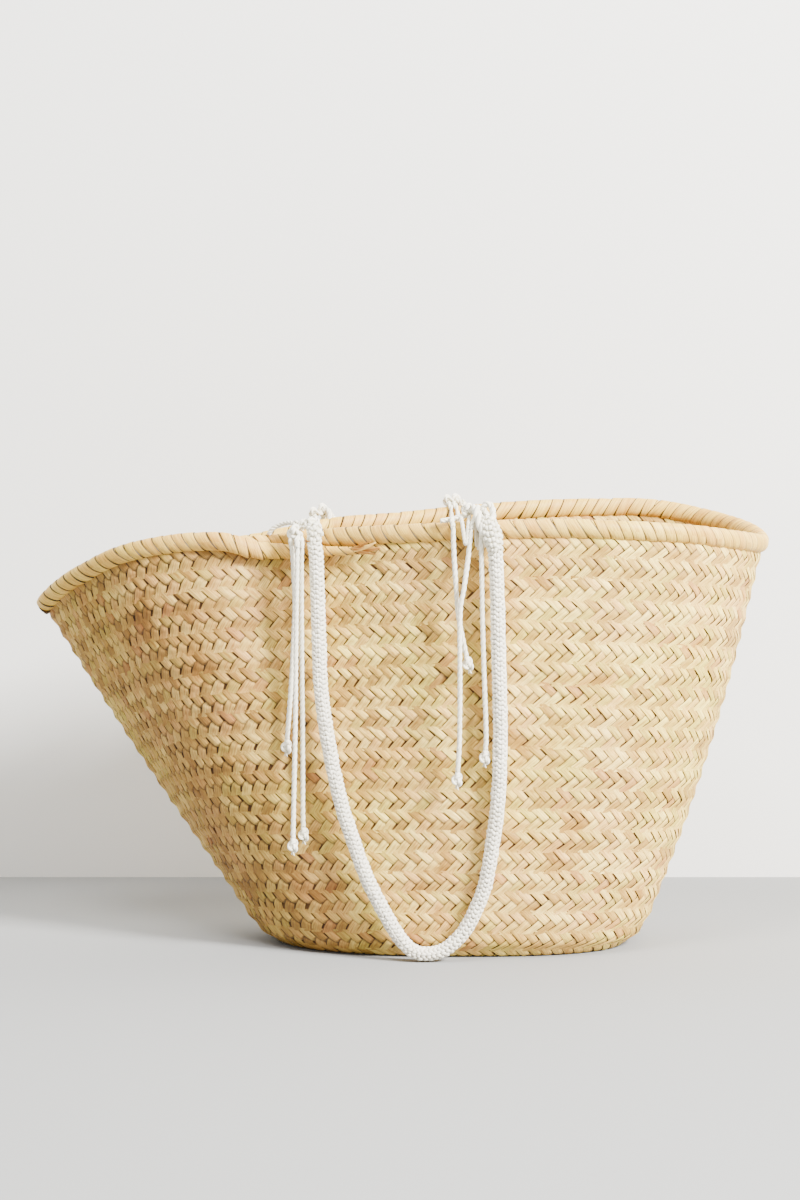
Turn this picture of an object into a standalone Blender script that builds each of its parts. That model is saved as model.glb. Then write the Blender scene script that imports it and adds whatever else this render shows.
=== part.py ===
"""Straw basket bag with two white rope handles, standing on a flat surface.

The wall is rows of sewn straw braid, which stand out as rounded ridges from a
flat oval bottom up to a mouth that is longer to the left and droops there. A
wrapped straw roll finishes the mouth, and its two thin ends lap over each other
at the front. Each handle is a thick rope that hangs down one side of the bag. A
lashing of thin cord ties each end of it to the roll through a hole in the wall,
and the lashings' spare cords hang down with a knot on each end.

X runs along the mouth, Y from front to back and Z up. The origin is on the
floor, under the middle of the mouth.
"""

import math
from collections import namedtuple
from functools import lru_cache

import bmesh
import bpy
from mathutils import Vector

# Mouth and rim roll
MOUTH_LENGTH = 0.585
MOUTH_WIDTH = 0.231
RIM_HEIGHT = 0.340
ROLL_HEIGHT = 0.015
ROLL_THICKNESS = 0.011

# Bottom, measured where the wall's line would meet the floor
BASE_LENGTH = 0.296
BASE_WIDTH = 0.178
BASE_SHIFT = 0.039
BASE_LEFT_POWER = 2.1
BASE_RIGHT_POWER = 2.6
CORNER_INSET = 0.019
CORNER_HEIGHT = 0.024

# Wall of sewn braid rows
WALL = 0.0026
ROW_PITCH = 0.016
ROW_RIDGE = 0.0017
BELLY = 0.010
COLUMNS = 30

# Ropes and cords
ROPE_DIAMETER = 0.0118
CORD_DIAMETER = 0.004
TAIL_KNOT_WIDTH = 0.0096
TAIL_KNOT_HEIGHT = 0.0120

# Clearances
GAP = 0.0003
ROLL_SEAT = 0.0005
LOOP_CLEARANCE = 0.0011
HOLE_CLEARANCE = 0.0018

# Counts of facets
ROLL_SEGMENTS = 68
ROLL_SIDES = 8
LOOP_SEGMENTS = 14
LOOP_SIDES = 6
COLLAR_SIDES = 12
CORD_SIDES = 8
KNOT_SIDES = 8
KNOT_RINGS = 5
BEND_WEIGHT = 0.3

# One row for each place round the mouth, from the right tip by way of the back.
# x is a share of half the mouth's length, y of half its width and height of the
# rim's height, all at the middle of the roll. belly is the share of BELLY.
Station = namedtuple("Station", "x y height belly")
STATIONS = (
    Station(1.00, 0.11, 0.938, 1.00),
    Station(0.965, 0.455, 0.959, 0.95),
    Station(0.847, 0.82, 0.982, 0.85),
    Station(0.707, 0.955, 1.00, 0.80),
    Station(0.55, 1.00, 1.00, 0.80),
    Station(0.38, 0.95, 0.997, 0.80),
    Station(0.19, 0.86, 0.988, 0.80),
    Station(0.00, 0.73, 0.974, 0.80),
    Station(-0.18, 0.61, 0.965, 0.80),
    Station(-0.30, 0.565, 0.947, 0.75),
    Station(-0.43, 0.58, 0.924, 0.70),
    Station(-0.575, 0.635, 0.903, 0.65),
    Station(-0.73, 0.68, 0.879, 0.60),
    Station(-0.87, 0.60, 0.842, 0.55),
    Station(-0.965, 0.41, 0.806, 0.50),
    Station(-1.00, 0.20, 0.790, 0.50),
    Station(-0.955, 0.00, 0.830, 0.50),
    Station(-0.89, -0.20, 0.870, 0.50),
    Station(-0.775, -0.455, 0.923, 0.55),
    Station(-0.645, -0.60, 0.952, 0.60),
    Station(-0.52, -0.66, 0.963, 0.60),
    Station(-0.415, -0.625, 0.961, 0.60),
    Station(-0.32, -0.58, 0.960, 0.65),
    Station(-0.22, -0.63, 0.968, 0.70),
    Station(-0.10, -0.76, 0.978, 0.75),
    Station(0.03, -0.885, 0.986, 0.80),
    Station(0.20, -0.97, 0.995, 0.80),
    Station(0.42, -1.00, 1.00, 0.80),
    Station(0.60, -0.945, 0.994, 0.85),
    Station(0.78, -0.745, 0.980, 0.90),
    Station(0.93, -0.36, 0.955, 0.95),
)

# The roll starts as a thin end on top of the wall and closes as a thin end that
# lies against the wall's face, a little lower. Places are shares of half the
# mouth's length, along the front.
ROLL_START = -0.47
ROLL_FULL = -0.26
ROLL_LEAVES_EDGE = -0.575
ROLL_END = -0.10

# share runs along the stretch. out is a share of the roll's thickness, drop of
# its height, and size is the roll's own size there against its full one.
RollEnd = namedtuple("RollEnd", "share out drop size")
STARTING_END = (
    RollEnd(0.00, -0.23, 0.00, 0.35),
    RollEnd(0.25, -0.14, 0.00, 0.50),
    RollEnd(0.60, -0.05, 0.00, 0.80),
    RollEnd(1.00, 0.00, 0.00, 1.00),
)
CLOSING_END = (
    RollEnd(0.00, 0.00, 0.00, 1.00),
    RollEnd(0.10, 0.40, 0.00, 1.00),
    RollEnd(0.17, 0.73, 0.00, 1.00),
    RollEnd(0.24, 0.79, 0.20, 1.00),
    RollEnd(0.35, 0.83, 0.48, 0.95),
    RollEnd(0.54, 0.78, 0.52, 0.82),
    RollEnd(0.75, 0.74, 0.74, 0.62),
    RollEnd(1.00, 0.56, 0.94, 0.35),
)

# Routes of the ropes and cords, from where each leaves its lashing.
FRONT_HANDLE_ROUTE = (
    (-0.0690, -0.0870, 0.3280),
    (-0.0672, -0.0882, 0.3190),
    (-0.0665, -0.0885, 0.3000),
    (-0.0650, -0.0892, 0.2520),
    (-0.0640, -0.0900, 0.2200),
    (-0.0612, -0.0910, 0.1930),
    (-0.0552, -0.0930, 0.1570),
    (-0.0473, -0.0950, 0.1220),
    (-0.0387, -0.0970, 0.0960),
    (-0.0280, -0.0990, 0.0663),
    (-0.0149, -0.1000, 0.0402),
    (-0.0029, -0.1005, 0.0200),
    (0.0075, -0.1005, 0.0092),
    (0.0190, -0.1005, 0.0064),
    (0.0325, -0.1005, 0.0098),
    (0.0462, -0.1008, 0.0222),
    (0.0563, -0.1022, 0.0406),
    (0.0640, -0.1050, 0.0615),
    (0.0693, -0.1085, 0.0919),
    (0.0738, -0.1125, 0.1285),
    (0.0754, -0.1162, 0.1767),
    (0.0747, -0.1185, 0.2134),
    (0.0737, -0.1200, 0.2470),
    (0.0730, -0.1212, 0.2748),
    (0.0722, -0.1220, 0.3011),
    (0.0710, -0.1224, 0.3235),
)
BACK_HANDLE_ROUTE = (
    (-0.0600, 0.0814, 0.3180),
    (-0.0598, 0.0822, 0.3000),
    (-0.0590, 0.0845, 0.2500),
    (-0.0575, 0.0875, 0.2000),
    (-0.0530, 0.0910, 0.1500),
    (-0.0440, 0.0950, 0.1000),
    (-0.0320, 0.0985, 0.0620),
    (-0.0180, 0.1005, 0.0300),
    (-0.0060, 0.1010, 0.0130),
    (0.0080, 0.1010, 0.0064),
    (0.0220, 0.1010, 0.0110),
    (0.0330, 0.1015, 0.0260),
    (0.0430, 0.1030, 0.0560),
    (0.0500, 0.1060, 0.1000),
    (0.0530, 0.1090, 0.1500),
    (0.0535, 0.1115, 0.2000),
    (0.0530, 0.1115, 0.2500),
    (0.0520, 0.1098, 0.3000),
    (0.0515, 0.1090, 0.3240),
)

# Each row is a handle's end tied to the roll. collar is how far the rope's end
# is wrapped, as a share of the rope's diameter.
Lashing = namedtuple("Lashing", "name side handle end collar knots loops bars")

# along runs left to right from the handle's end and size is a radius, both in
# cord diameters. angle is measured round the roll, from outward to up.
Knot = namedtuple("Knot", "along angle size")
Bar = namedtuple("Bar", "start end angle")

# One row for each spare cord that hangs from a lashing. It leaves from a place on
# the roll given as for a knot, where lift is its height there in cord diameters.
Leave = namedtuple("Leave", "along angle lift")
Tail = namedtuple("Tail", "name lashing leave route")
TAILS = (
    Tail("front_left_tail_1", "front_left_lashing", Leave(-3.3, 35, 1.6), (
        (-0.0862, -0.0905, 0.3250), (-0.0850, -0.0903, 0.3130), (-0.0838, -0.0895, 0.2820),
        (-0.0847, -0.0880, 0.2540), (-0.0871, -0.0855, 0.2120), (-0.0902, -0.0835, 0.1730))),
    Tail("front_left_tail_2", "front_left_lashing", Leave(-1.4, 40, 1.9), (
        (-0.0815, -0.0960, 0.3240), (-0.0818, -0.0958, 0.3100), (-0.0828, -0.0945, 0.2507),
        (-0.0836, -0.0925, 0.1841), (-0.0852, -0.0900, 0.1140), (-0.0856, -0.0893, 0.0960))),
    Tail("front_left_tail_3", "front_left_lashing", Leave(-1.4, 40, 1.9), (
        (-0.0782, -0.0900, 0.3230), (-0.0785, -0.0898, 0.3110), (-0.0785, -0.0885, 0.2510),
        (-0.0780, -0.0870, 0.1841), (-0.0780, -0.0855, 0.1180), (-0.0777, -0.0850, 0.1040))),
    Tail("front_right_tail_1", "front_right_lashing", Leave(-8.1, 45, 0.6), (
        (0.0386, -0.1195, 0.3420), (0.0392, -0.1200, 0.3233), (0.0407, -0.1200, 0.2986),
        (0.0426, -0.1195, 0.2745), (0.0456, -0.1190, 0.2583), (0.0490, -0.1185, 0.2420))),
    Tail("front_right_tail_2", "front_right_lashing", Leave(-3.9, 80, 1.6), (
        (0.0524, -0.1195, 0.3400), (0.0500, -0.1200, 0.3163), (0.0470, -0.1245, 0.2954),
        (0.0440, -0.1250, 0.2745), (0.0440, -0.1235, 0.2202), (0.0437, -0.1200, 0.1765),
        (0.0424, -0.1180, 0.1520))),
    Tail("front_right_tail_3", "front_right_lashing", Leave(-2.0, 50, 1.8), (
        (0.0600, -0.1205, 0.3380), (0.0606, -0.1205, 0.3150), (0.0613, -0.1200, 0.2746),
        (0.0626, -0.1190, 0.2312), (0.0643, -0.1175, 0.1830), (0.0638, -0.1165, 0.1690))),
    Tail("back_left_tail", "back_left_lashing", Leave(-3.2, 70, 1.6), (
        (-0.0730, 0.0830, 0.3180), (-0.0735, 0.0838, 0.2900), (-0.0745, 0.0855, 0.2400),
        (-0.0755, 0.0870, 0.1600))),
    Tail("back_right_tail", "back_right_lashing", Leave(-3.2, 70, 1.6), (
        (0.0375, 0.1095, 0.3260), (0.0370, 0.1105, 0.3000), (0.0365, 0.1120, 0.2500),
        (0.0360, 0.1125, 0.1800))),
)

LASHINGS = (
    Lashing("front_left_lashing", -1, "front", 0, 1.1,
            (Knot(-1.4, 40, 1.9), Knot(-3.3, 35, 1.6)), (-2.7, -3.9), ()),
    Lashing("front_right_lashing", -1, "front", -1, 2.2,
            (Knot(-2.0, 50, 1.8), Knot(-3.9, 80, 1.6)), (-2.2, -3.5), (Bar(-9.2, -3.6, 45),)),
    Lashing("back_left_lashing", 1, "back", 0, 1.9,
            (Knot(-1.2, 42, 1.8), Knot(-3.2, 70, 1.6)), (-2.0, -3.3), ()),
    Lashing("back_right_lashing", 1, "back", -1, 1.9,
            (Knot(-1.2, 42, 1.8), Knot(-3.2, 70, 1.6)), (-2.0, -3.3), ()),
)


def clear_scene():
    """Remove whatever the file holds at the start."""
    for thing in list(bpy.data.objects):
        bpy.data.objects.remove(thing, do_unlink=True)


def make_material(name, colour, roughness):
    """A plain surface with the colour and roughness of one stuff."""
    material = bpy.data.materials.new(name)
    material.use_nodes = True
    shader = material.node_tree.nodes["Principled BSDF"]
    shader.inputs["Base Color"].default_value = (*colour, 1.0)
    shader.inputs["Roughness"].default_value = roughness
    shader.inputs["Metallic"].default_value = 0.0
    material.diffuse_color = (*colour, 1.0)
    return material


def make_object(name, bm, material):
    """Turn a bmesh into a named object with its material."""
    mesh = bpy.data.meshes.new(name)
    bm.to_mesh(mesh)
    bm.free()
    mesh.materials.append(material)
    thing = bpy.data.objects.new(name, mesh)
    bpy.context.scene.collection.objects.link(thing)
    mesh.shade_smooth()
    return thing


def make_guide(thing):
    """Mark an object that only cuts or adds to another."""
    thing.hide_render = True
    thing.display_type = "WIRE"
    return thing


def combine(thing, other, operation):
    """Cut or join one object with another."""
    modifier = thing.modifiers.new(other.name, "BOOLEAN")
    modifier.operation = operation
    modifier.solver = "EXACT"
    modifier.object = other
    make_guide(other)


def smooth_between(before, first, second, after, share):
    """Catmull-Rom value between first and second."""
    slope_in = (second - before) / 2
    slope_out = (after - first) / 2
    square = share * share
    cube = square * share
    return (first * (2 * cube - 3 * square + 1) + slope_in * (cube - 2 * square + share)
            + second * (3 * square - 2 * cube) + slope_out * (cube - square))


def read_station(turn):
    """The mouth's smooth shape at a turn, where 1 is once round."""
    place = (turn % 1.0) * len(STATIONS)
    index = int(place)
    rows = [STATIONS[(index + step) % len(STATIONS)] for step in (-1, 0, 1, 2)]
    return Station(*(smooth_between(*values, place - index) for values in zip(*rows)))


def read_end(table, share):
    """A roll end's row at a share of its stretch."""
    for low, high in zip(table, table[1:]):
        if share <= high.share:
            part = (share - low.share) / (high.share - low.share)
            return RollEnd(*(a + (b - a) * part for a, b in zip(low, high)))
    return table[-1]


def rim_centre(turn):
    """The middle of the roll where it sits on the wall."""
    station = read_station(turn)
    half_length = (MOUTH_LENGTH - ROLL_THICKNESS) / 2
    half_width = (MOUTH_WIDTH - ROLL_THICKNESS) / 2
    return Vector((station.x * half_length, station.y * half_width,
                   station.height * RIM_HEIGHT))


def base_corner(turn):
    """Where the wall's line meets the bottom, at the middle of the thickness."""
    station = read_station(turn)
    angle = math.atan2(station.y, station.x)
    across, along = math.sin(angle), math.cos(angle)
    power = BASE_RIGHT_POWER if along > 0 else BASE_LEFT_POWER
    reach = (abs(along) ** power + abs(across) ** power) ** (-1 / power)
    return Vector((BASE_SHIFT + along * reach * BASE_LENGTH / 2,
                   across * reach * BASE_WIDTH / 2, WALL / 2))


def rim_axes(turn):
    """Along the roll, out from the wall and up the wall's slope."""
    step = 0.25 / len(STATIONS)
    along = (rim_centre(turn + step) - rim_centre(turn - step)).normalized()
    rise = (rim_centre(turn) - base_corner(turn)).normalized()
    out = along.cross(rise).normalized()
    return along, out, out.cross(along).normalized()


def turn_steps(start, end, count):
    """Turns from start to end, closer together where the mouth bends more."""
    fine = [start + (end - start) * step / 800 for step in range(801)]
    reached = [0.0]
    for low, high in zip(fine, fine[1:]):
        length = (rim_centre(high) - rim_centre(low)).length / MOUTH_LENGTH
        bend = rim_axes(low)[0].angle(rim_axes(high)[0]) * BEND_WEIGHT
        reached.append(reached[-1] + length + bend)
    turns = []
    index = 0
    for step in range(count):
        target = reached[-1] * step / (count - 1)
        while index < len(fine) - 2 and reached[index + 1] < target:
            index += 1
        share = (target - reached[index]) / (reached[index + 1] - reached[index])
        turns.append(fine[index] + (fine[index + 1] - fine[index]) * share)
    return turns


def wall_line(turn):
    """The wall's middle from the flat bottom's edge to under the roll."""
    corner = base_corner(turn)
    up = rim_axes(turn)[2]
    top = rim_centre(turn) - up * (ROLL_HEIGHT / 2 + ROLL_SEAT)
    out = Vector((corner.x - BASE_SHIFT, corner.y, 0.0)).normalized()
    belly = BELLY * read_station(turn).belly

    def wall_at(share):
        return corner.lerp(top, share) + out * belly * math.sin(math.pi * share ** 0.85)

    bend_end = CORNER_HEIGHT / top.z
    flat_edge = corner - out * CORNER_INSET
    line = []
    for step in range(8):
        share = step / 8
        line.append(flat_edge * (1 - share) ** 2 + corner * 2 * share * (1 - share)
                    + wall_at(bend_end) * share ** 2)
    for step in range(33):
        line.append(wall_at(bend_end + (1 - bend_end) * step / 32))
    return line


def even_points(line, count):
    """Points at equal steps along a line, both ends included."""
    lengths = [0.0]
    for first, second in zip(line, line[1:]):
        lengths.append(lengths[-1] + (second - first).length)
    points = []
    index = 0
    for step in range(count):
        target = lengths[-1] * step / (count - 1)
        while index < len(line) - 2 and lengths[index + 1] < target:
            index += 1
        span = lengths[index + 1] - lengths[index]
        points.append(line[index].lerp(line[index + 1], (target - lengths[index]) / span))
    return points


def line_length(line):
    """Length of a line through its points."""
    return sum((second - first).length for first, second in zip(line, line[1:]))


def wall_grid():
    """The wall's middle, its outward directions and its ridges, ring by ring."""
    lines = [wall_line(turn) for turn in turn_steps(0.0, 1.0, COLUMNS + 1)[:-1]]
    mean = sum(line_length(line) for line in lines) / COLUMNS
    rings = 2 * round(mean / ROW_PITCH) + 1
    columns = [even_points(line, rings) for line in lines]
    middle = [[column[ring] for column in columns] for ring in range(rings)]
    outward = []
    for ring in range(rings):
        low = middle[max(ring - 1, 0)]
        high = middle[min(ring + 1, rings - 1)]
        here = middle[ring]
        row = []
        for index in range(COLUMNS):
            around = here[(index + 1) % COLUMNS] - here[index - 1]
            row.append(around.cross(high[index] - low[index]).normalized())
        outward.append(row)
    outward[0] = [Vector((0.0, 0.0, -1.0))] * COLUMNS
    ridges = [ROW_RIDGE * (0.5 if ring % 2 else -0.5) for ring in range(rings)]
    ridges[0] = ridges[-1] = 0.0
    return middle, outward, ridges


def basket_body(material):
    """The hollow wall and bottom as one closed shell."""
    middle, outward, ridges = wall_grid()
    bm = bmesh.new()
    outer, inner = [], []
    for ring, offsets, ridge in zip(middle, outward, ridges):
        outer.append([bm.verts.new(p + n * (ridge + WALL / 2)) for p, n in zip(ring, offsets)])
        inner.append([bm.verts.new(p + n * (ridge - WALL / 2)) for p, n in zip(ring, offsets)])
    bands = [(low, high) for low, high in zip(outer, outer[1:])]
    bands += [(high, low) for low, high in zip(inner, inner[1:])]
    bands.append((outer[-1], inner[-1]))
    for low, high in bands:
        for index in range(COLUMNS):
            after = (index + 1) % COLUMNS
            bm.faces.new((low[index], low[after], high[after], high[index]))
    bm.faces.new(list(reversed(outer[0])))
    bm.faces.new(inner[0])
    return make_object("basket_body", bm, material)


@lru_cache(maxsize=None)
def front_turn(x_share):
    """The turn at which the front of the mouth has this x share."""
    steps = [0.45 + 0.55 * step / 2000 for step in range(2000)]
    front = [turn for turn in steps if read_station(turn).y < 0]
    return min(front, key=lambda turn: abs(read_station(turn).x - x_share))


@lru_cache(maxsize=None)
def back_turn(x_share):
    """The turn at which the back of the mouth has this x share."""
    steps = [0.5 * step / 2000 for step in range(2000)]
    return min(steps, key=lambda turn: abs(read_station(turn).x - x_share))


def roll_section(turn):
    """The roll's middle and its size at a turn past its starting end."""
    start = front_turn(ROLL_START)
    full = front_turn(ROLL_FULL)
    leaves = front_turn(ROLL_LEAVES_EDGE) + 1
    end = front_turn(ROLL_END) + 1
    row = RollEnd(0.0, 0.0, 0.0, 1.0)
    if turn < full:
        row = read_end(STARTING_END, (turn - start) / (full - start))
    elif turn > leaves:
        row = read_end(CLOSING_END, (turn - leaves) / (end - leaves))
    out, up = rim_axes(turn)[1:]
    shift = out * row.out * ROLL_THICKNESS - up * row.drop * ROLL_HEIGHT
    return rim_centre(turn) + shift, row.size


def tube_mesh(centres, frames, closed):
    """Skin rings of points given as offsets along two directions."""
    bm = bmesh.new()
    rings = []
    for centre, ring in zip(centres, frames):
        rings.append([bm.verts.new(centre + offset) for offset in ring])
    pairs = list(zip(rings, rings[1:]))
    if closed:
        pairs.append((rings[-1], rings[0]))
    sides = len(rings[0])
    for low, high in pairs:
        for index in range(sides):
            after = (index + 1) % sides
            bm.faces.new((low[index], low[after], high[after], high[index]))
    if not closed:
        bm.faces.new(list(reversed(rings[0])))
        bm.faces.new(rings[-1])
    return bm


def rim_roll(material):
    """The wrapped roll, once round the mouth and a lap more."""
    start = front_turn(ROLL_START)
    end = front_turn(ROLL_END) + 1
    centres, frames = [], []
    for turn in turn_steps(start, end, ROLL_SEGMENTS + 1):
        centre, size = roll_section(turn)
        out, up = rim_axes(turn)[1:]
        ring = []
        for side in range(ROLL_SIDES):
            angle = math.tau * (side + 0.5) / ROLL_SIDES
            ring.append((out * math.cos(angle) * ROLL_THICKNESS / 2
                         + up * math.sin(angle) * ROLL_HEIGHT / 2) * size)
        centres.append(centre)
        frames.append(list(reversed(ring)))
    return make_object("rim_roll", tube_mesh(centres, frames, False), material)


def smooth_route(points, spacing):
    """Points at even steps on a smooth curve through a route's own points."""
    route = [Vector(point) for point in points]
    route = [2 * route[0] - route[1]] + route + [2 * route[-1] - route[-2]]
    fine = []
    for index in range(1, len(route) - 2):
        for step in range(12):
            fine.append(smooth_between(*route[index - 1:index + 3], step / 12))
    fine.append(route[-2])
    return even_points(fine, max(4, round(line_length(fine) / spacing) + 1))


def cord_tube(name, route, diameter, spacing, material):
    """A plain round cord along its route."""
    curve = bpy.data.curves.new(name, "CURVE")
    curve.dimensions = "3D"
    curve.bevel_depth = diameter / 2
    curve.bevel_resolution = 2
    curve.use_fill_caps = True
    points = smooth_route(route, spacing)
    spline = curve.splines.new("POLY")
    spline.points.add(len(points) - 1)
    for target, point in zip(spline.points, points):
        target.co = (*point, 1.0)
    curve.materials.append(material)
    thing = bpy.data.objects.new(name, curve)
    bpy.context.scene.collection.objects.link(thing)
    return thing


def round_knot(name, centre, width, height, down, material):
    """A knot as a small rounded lump, its height along the cord."""
    bm = bmesh.new()
    bmesh.ops.create_uvsphere(bm, u_segments=KNOT_SIDES, v_segments=KNOT_RINGS, radius=0.5)
    bmesh.ops.scale(bm, vec=(width, width, height), verts=bm.verts)
    turn = Vector((0.0, 0.0, -1.0)).rotation_difference(down).to_matrix()
    bmesh.ops.rotate(bm, cent=(0.0, 0.0, 0.0), matrix=turn, verts=bm.verts)
    bmesh.ops.translate(bm, vec=centre, verts=bm.verts)
    return make_object(name, bm, material)


def tail(row, material):
    """A spare cord and the knot on its end."""
    cord_tube(row.name, row.route, CORD_DIAMETER, CORD_DIAMETER * 3, material)
    end = Vector(row.route[-1])
    down = (end - Vector(row.route[-2])).normalized()
    centre = end + down * (TAIL_KNOT_HEIGHT / 2 + GAP)
    round_knot(row.name + "_knot", centre, TAIL_KNOT_WIDTH, TAIL_KNOT_HEIGHT, down, material)


def reach_of(strands, angle):
    """The outermost point of some ellipses towards an angle."""
    toward = (math.cos(angle), math.sin(angle))
    best = None
    for out, up, half_out, half_up in strands:
        scale = math.hypot(half_out * toward[0], half_up * toward[1])
        reach = out * toward[0] + up * toward[1] + scale
        if best is None or reach > best[0]:
            best = (reach, out + half_out ** 2 * toward[0] / scale,
                    up + half_up ** 2 * toward[1] / scale)
    return best[1], best[2]


def strands_at(turn):
    """The ellipses that a loop of cord pulled tight goes round."""
    centre = rim_centre(turn)
    out, up = rim_axes(turn)[1:]
    turns = [turn, turn + 1]
    limits = (front_turn(ROLL_START), front_turn(ROLL_END) + 1)
    strands = []
    for here in turns:
        if limits[0] <= here <= limits[1]:
            middle, size = roll_section(here)
            offset = middle - centre
            strands.append((offset.dot(out), offset.dot(up),
                            size * ROLL_THICKNESS / 2, size * ROLL_HEIGHT / 2))
    edge = -ROLL_HEIGHT / 2 - ROLL_SEAT - WALL / 2
    strands.append((0.0, edge, WALL, WALL))
    return strands


def loop_path(turn):
    """The middle of a tight loop of cord round the roll and through the wall."""
    centre = rim_centre(turn)
    out, up = rim_axes(turn)[1:]
    strands = strands_at(turn)
    clearance = CORD_DIAMETER / 2 + LOOP_CLEARANCE
    path = []
    for step in range(LOOP_SEGMENTS):
        angle = math.tau * step / LOOP_SEGMENTS
        point = reach_of(strands, angle)
        path.append((point[0] + math.cos(angle) * clearance,
                     point[1] + math.sin(angle) * clearance))
    places = [centre + out * a + up * b for a, b in path]
    return path, places


def loop_tube(name, turn, material):
    """One turn of thin cord, as a closed ring."""
    along = rim_axes(turn)[0]
    places = loop_path(turn)[1]
    frames = []
    for index, place in enumerate(places):
        ahead = (places[(index + 1) % len(places)] - places[index - 1]).normalized()
        side = ahead.cross(along).normalized()
        frames.append([(along * math.cos(math.tau * k / LOOP_SIDES)
                        + side * math.sin(math.tau * k / LOOP_SIDES)) * CORD_DIAMETER / 2
                       for k in range(LOOP_SIDES)])
    bm = tube_mesh(places, frames, True)
    bmesh.ops.recalc_face_normals(bm, faces=bm.faces)
    return make_object(name, bm, material)


def straight_rod(name, start, end, radius, sides, material):
    """A capped rod between two points."""
    direction = (end - start).normalized()
    side = direction.orthogonal().normalized()
    other = direction.cross(side)
    ring = [(side * math.cos(math.tau * k / sides) + other * math.sin(math.tau * k / sides))
            * radius for k in range(sides)]
    bm = tube_mesh([start, end], [ring, ring], False)
    bmesh.ops.recalc_face_normals(bm, faces=bm.faces)
    return make_object(name, bm, material)


def tail_root(row, leave, material):
    """The start of a spare cord, from its lashing to just above the hanging part."""
    points = smooth_route(row.route, CORD_DIAMETER * 3)
    rising = (points[0] - points[1]).normalized()
    start = points[0] + rising * GAP
    elbow = start + rising * CORD_DIAMETER
    inward = (leave - elbow).normalized()
    side = rising.cross(inward).normalized()
    frames = []
    for facing in (rising, (rising + inward).normalized(), inward):
        other = facing.cross(side)
        frames.append([(side * math.cos(math.tau * k / CORD_SIDES)
                        + other * math.sin(math.tau * k / CORD_SIDES)) * CORD_DIAMETER / 2
                       for k in range(CORD_SIDES)])
    bm = tube_mesh([start, elbow, leave], frames, False)
    bmesh.ops.recalc_face_normals(bm, faces=bm.faces)
    return make_object(row.name + "_root", bm, material)


def loop_crossing(turn):
    """Where a loop's path crosses the wall, under the roll."""
    centre = rim_centre(turn)
    up = rim_axes(turn)[2]
    path = loop_path(turn)[0]
    for first, second in zip(path, path[1:] + path[:1]):
        if first[0] <= 0 < second[0] and first[1] < 0:
            share = -first[0] / (second[0] - first[0])
            return centre + up * (first[1] + (second[1] - first[1]) * share)
    return centre


def cord_slot(body, name, turn, crossings, material):
    """Cut the slot that a lashing's loops pass through, with a round end at each side."""
    out = rim_axes(turn)[1]
    first, last = crossings
    along = (last - first).normalized()
    up = out.cross(along)
    radius = CORD_DIAMETER / 2 + HOLE_CLEARANCE
    ring = []
    for step in range(CORD_SIDES):
        angle = math.tau * (step + 0.5) / CORD_SIDES
        end = last if math.cos(angle) > 0 else first
        ring.append(end + (along * math.cos(angle) + up * math.sin(angle)) * radius)
    reach = out * ROLL_THICKNESS
    bm = tube_mesh([-reach, reach], [ring, ring], False)
    bmesh.ops.recalc_face_normals(bm, faces=bm.faces)
    combine(body, make_object(name, bm, material), "DIFFERENCE")


def lashing(row, routes, body, material):
    """A wrapped rope end, its knots and the loops that hold them to the roll."""
    points = smooth_route(routes[row.handle], ROPE_DIAMETER * 2)
    rope_end, before = (points[0], points[1]) if row.end == 0 else (points[-1], points[-2])
    rising = (rope_end - before).normalized()
    start = rope_end + rising * GAP
    stop = start + rising * row.collar * ROPE_DIAMETER
    radius = ROPE_DIAMETER / 2 + CORD_DIAMETER / 2
    collar = straight_rod(row.name, start, stop, radius, COLLAR_SIDES, material)

    find_turn = front_turn if row.side < 0 else back_turn
    half_length = (MOUTH_LENGTH - ROLL_THICKNESS) / 2

    def turn_at(along):
        return find_turn((rope_end.x + along * CORD_DIAMETER) / half_length)

    def on_roll(along, angle, clearance):
        turn = turn_at(along)
        out, up = rim_axes(turn)[1:]
        point = reach_of(strands_at(turn), math.radians(angle))
        toward = (math.cos(math.radians(angle)), math.sin(math.radians(angle)))
        return (rim_centre(turn) + out * (point[0] + toward[0] * clearance)
                + up * (point[1] + toward[1] * clearance))

    for number, knot in enumerate(row.knots):
        size = knot.size * CORD_DIAMETER
        centre = on_roll(knot.along, knot.angle, size + GAP)
        lump = round_knot(f"{row.name}_knot_{number}", centre, 2 * size, 2 * size,
                          Vector((0.0, 0.0, -1.0)), material)
        combine(collar, lump, "UNION")
    for number, along in enumerate(row.loops):
        loop = loop_tube(f"{row.name}_loop_{number}", turn_at(along), material)
        combine(collar, loop, "UNION")
    crossings = [loop_crossing(turn_at(along)) for along in row.loops]
    middle = turn_at(sum(row.loops) / len(row.loops))
    cord_slot(body, f"{row.name}_slot", middle, crossings, material)
    for number, bar in enumerate(row.bars):
        clearance = CORD_DIAMETER / 2 + GAP
        rod = straight_rod(f"{row.name}_bar_{number}", on_roll(bar.start, bar.angle, clearance),
                           on_roll(bar.end, bar.angle, clearance), CORD_DIAMETER / 2, CORD_SIDES,
                           material)
        combine(collar, rod, "UNION")
    for spare in TAILS:
        if spare.lashing == row.name:
            leave = on_roll(spare.leave.along, spare.leave.angle,
                            spare.leave.lift * CORD_DIAMETER + GAP)
            combine(collar, tail_root(spare, leave, material), "UNION")
    return collar


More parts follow.
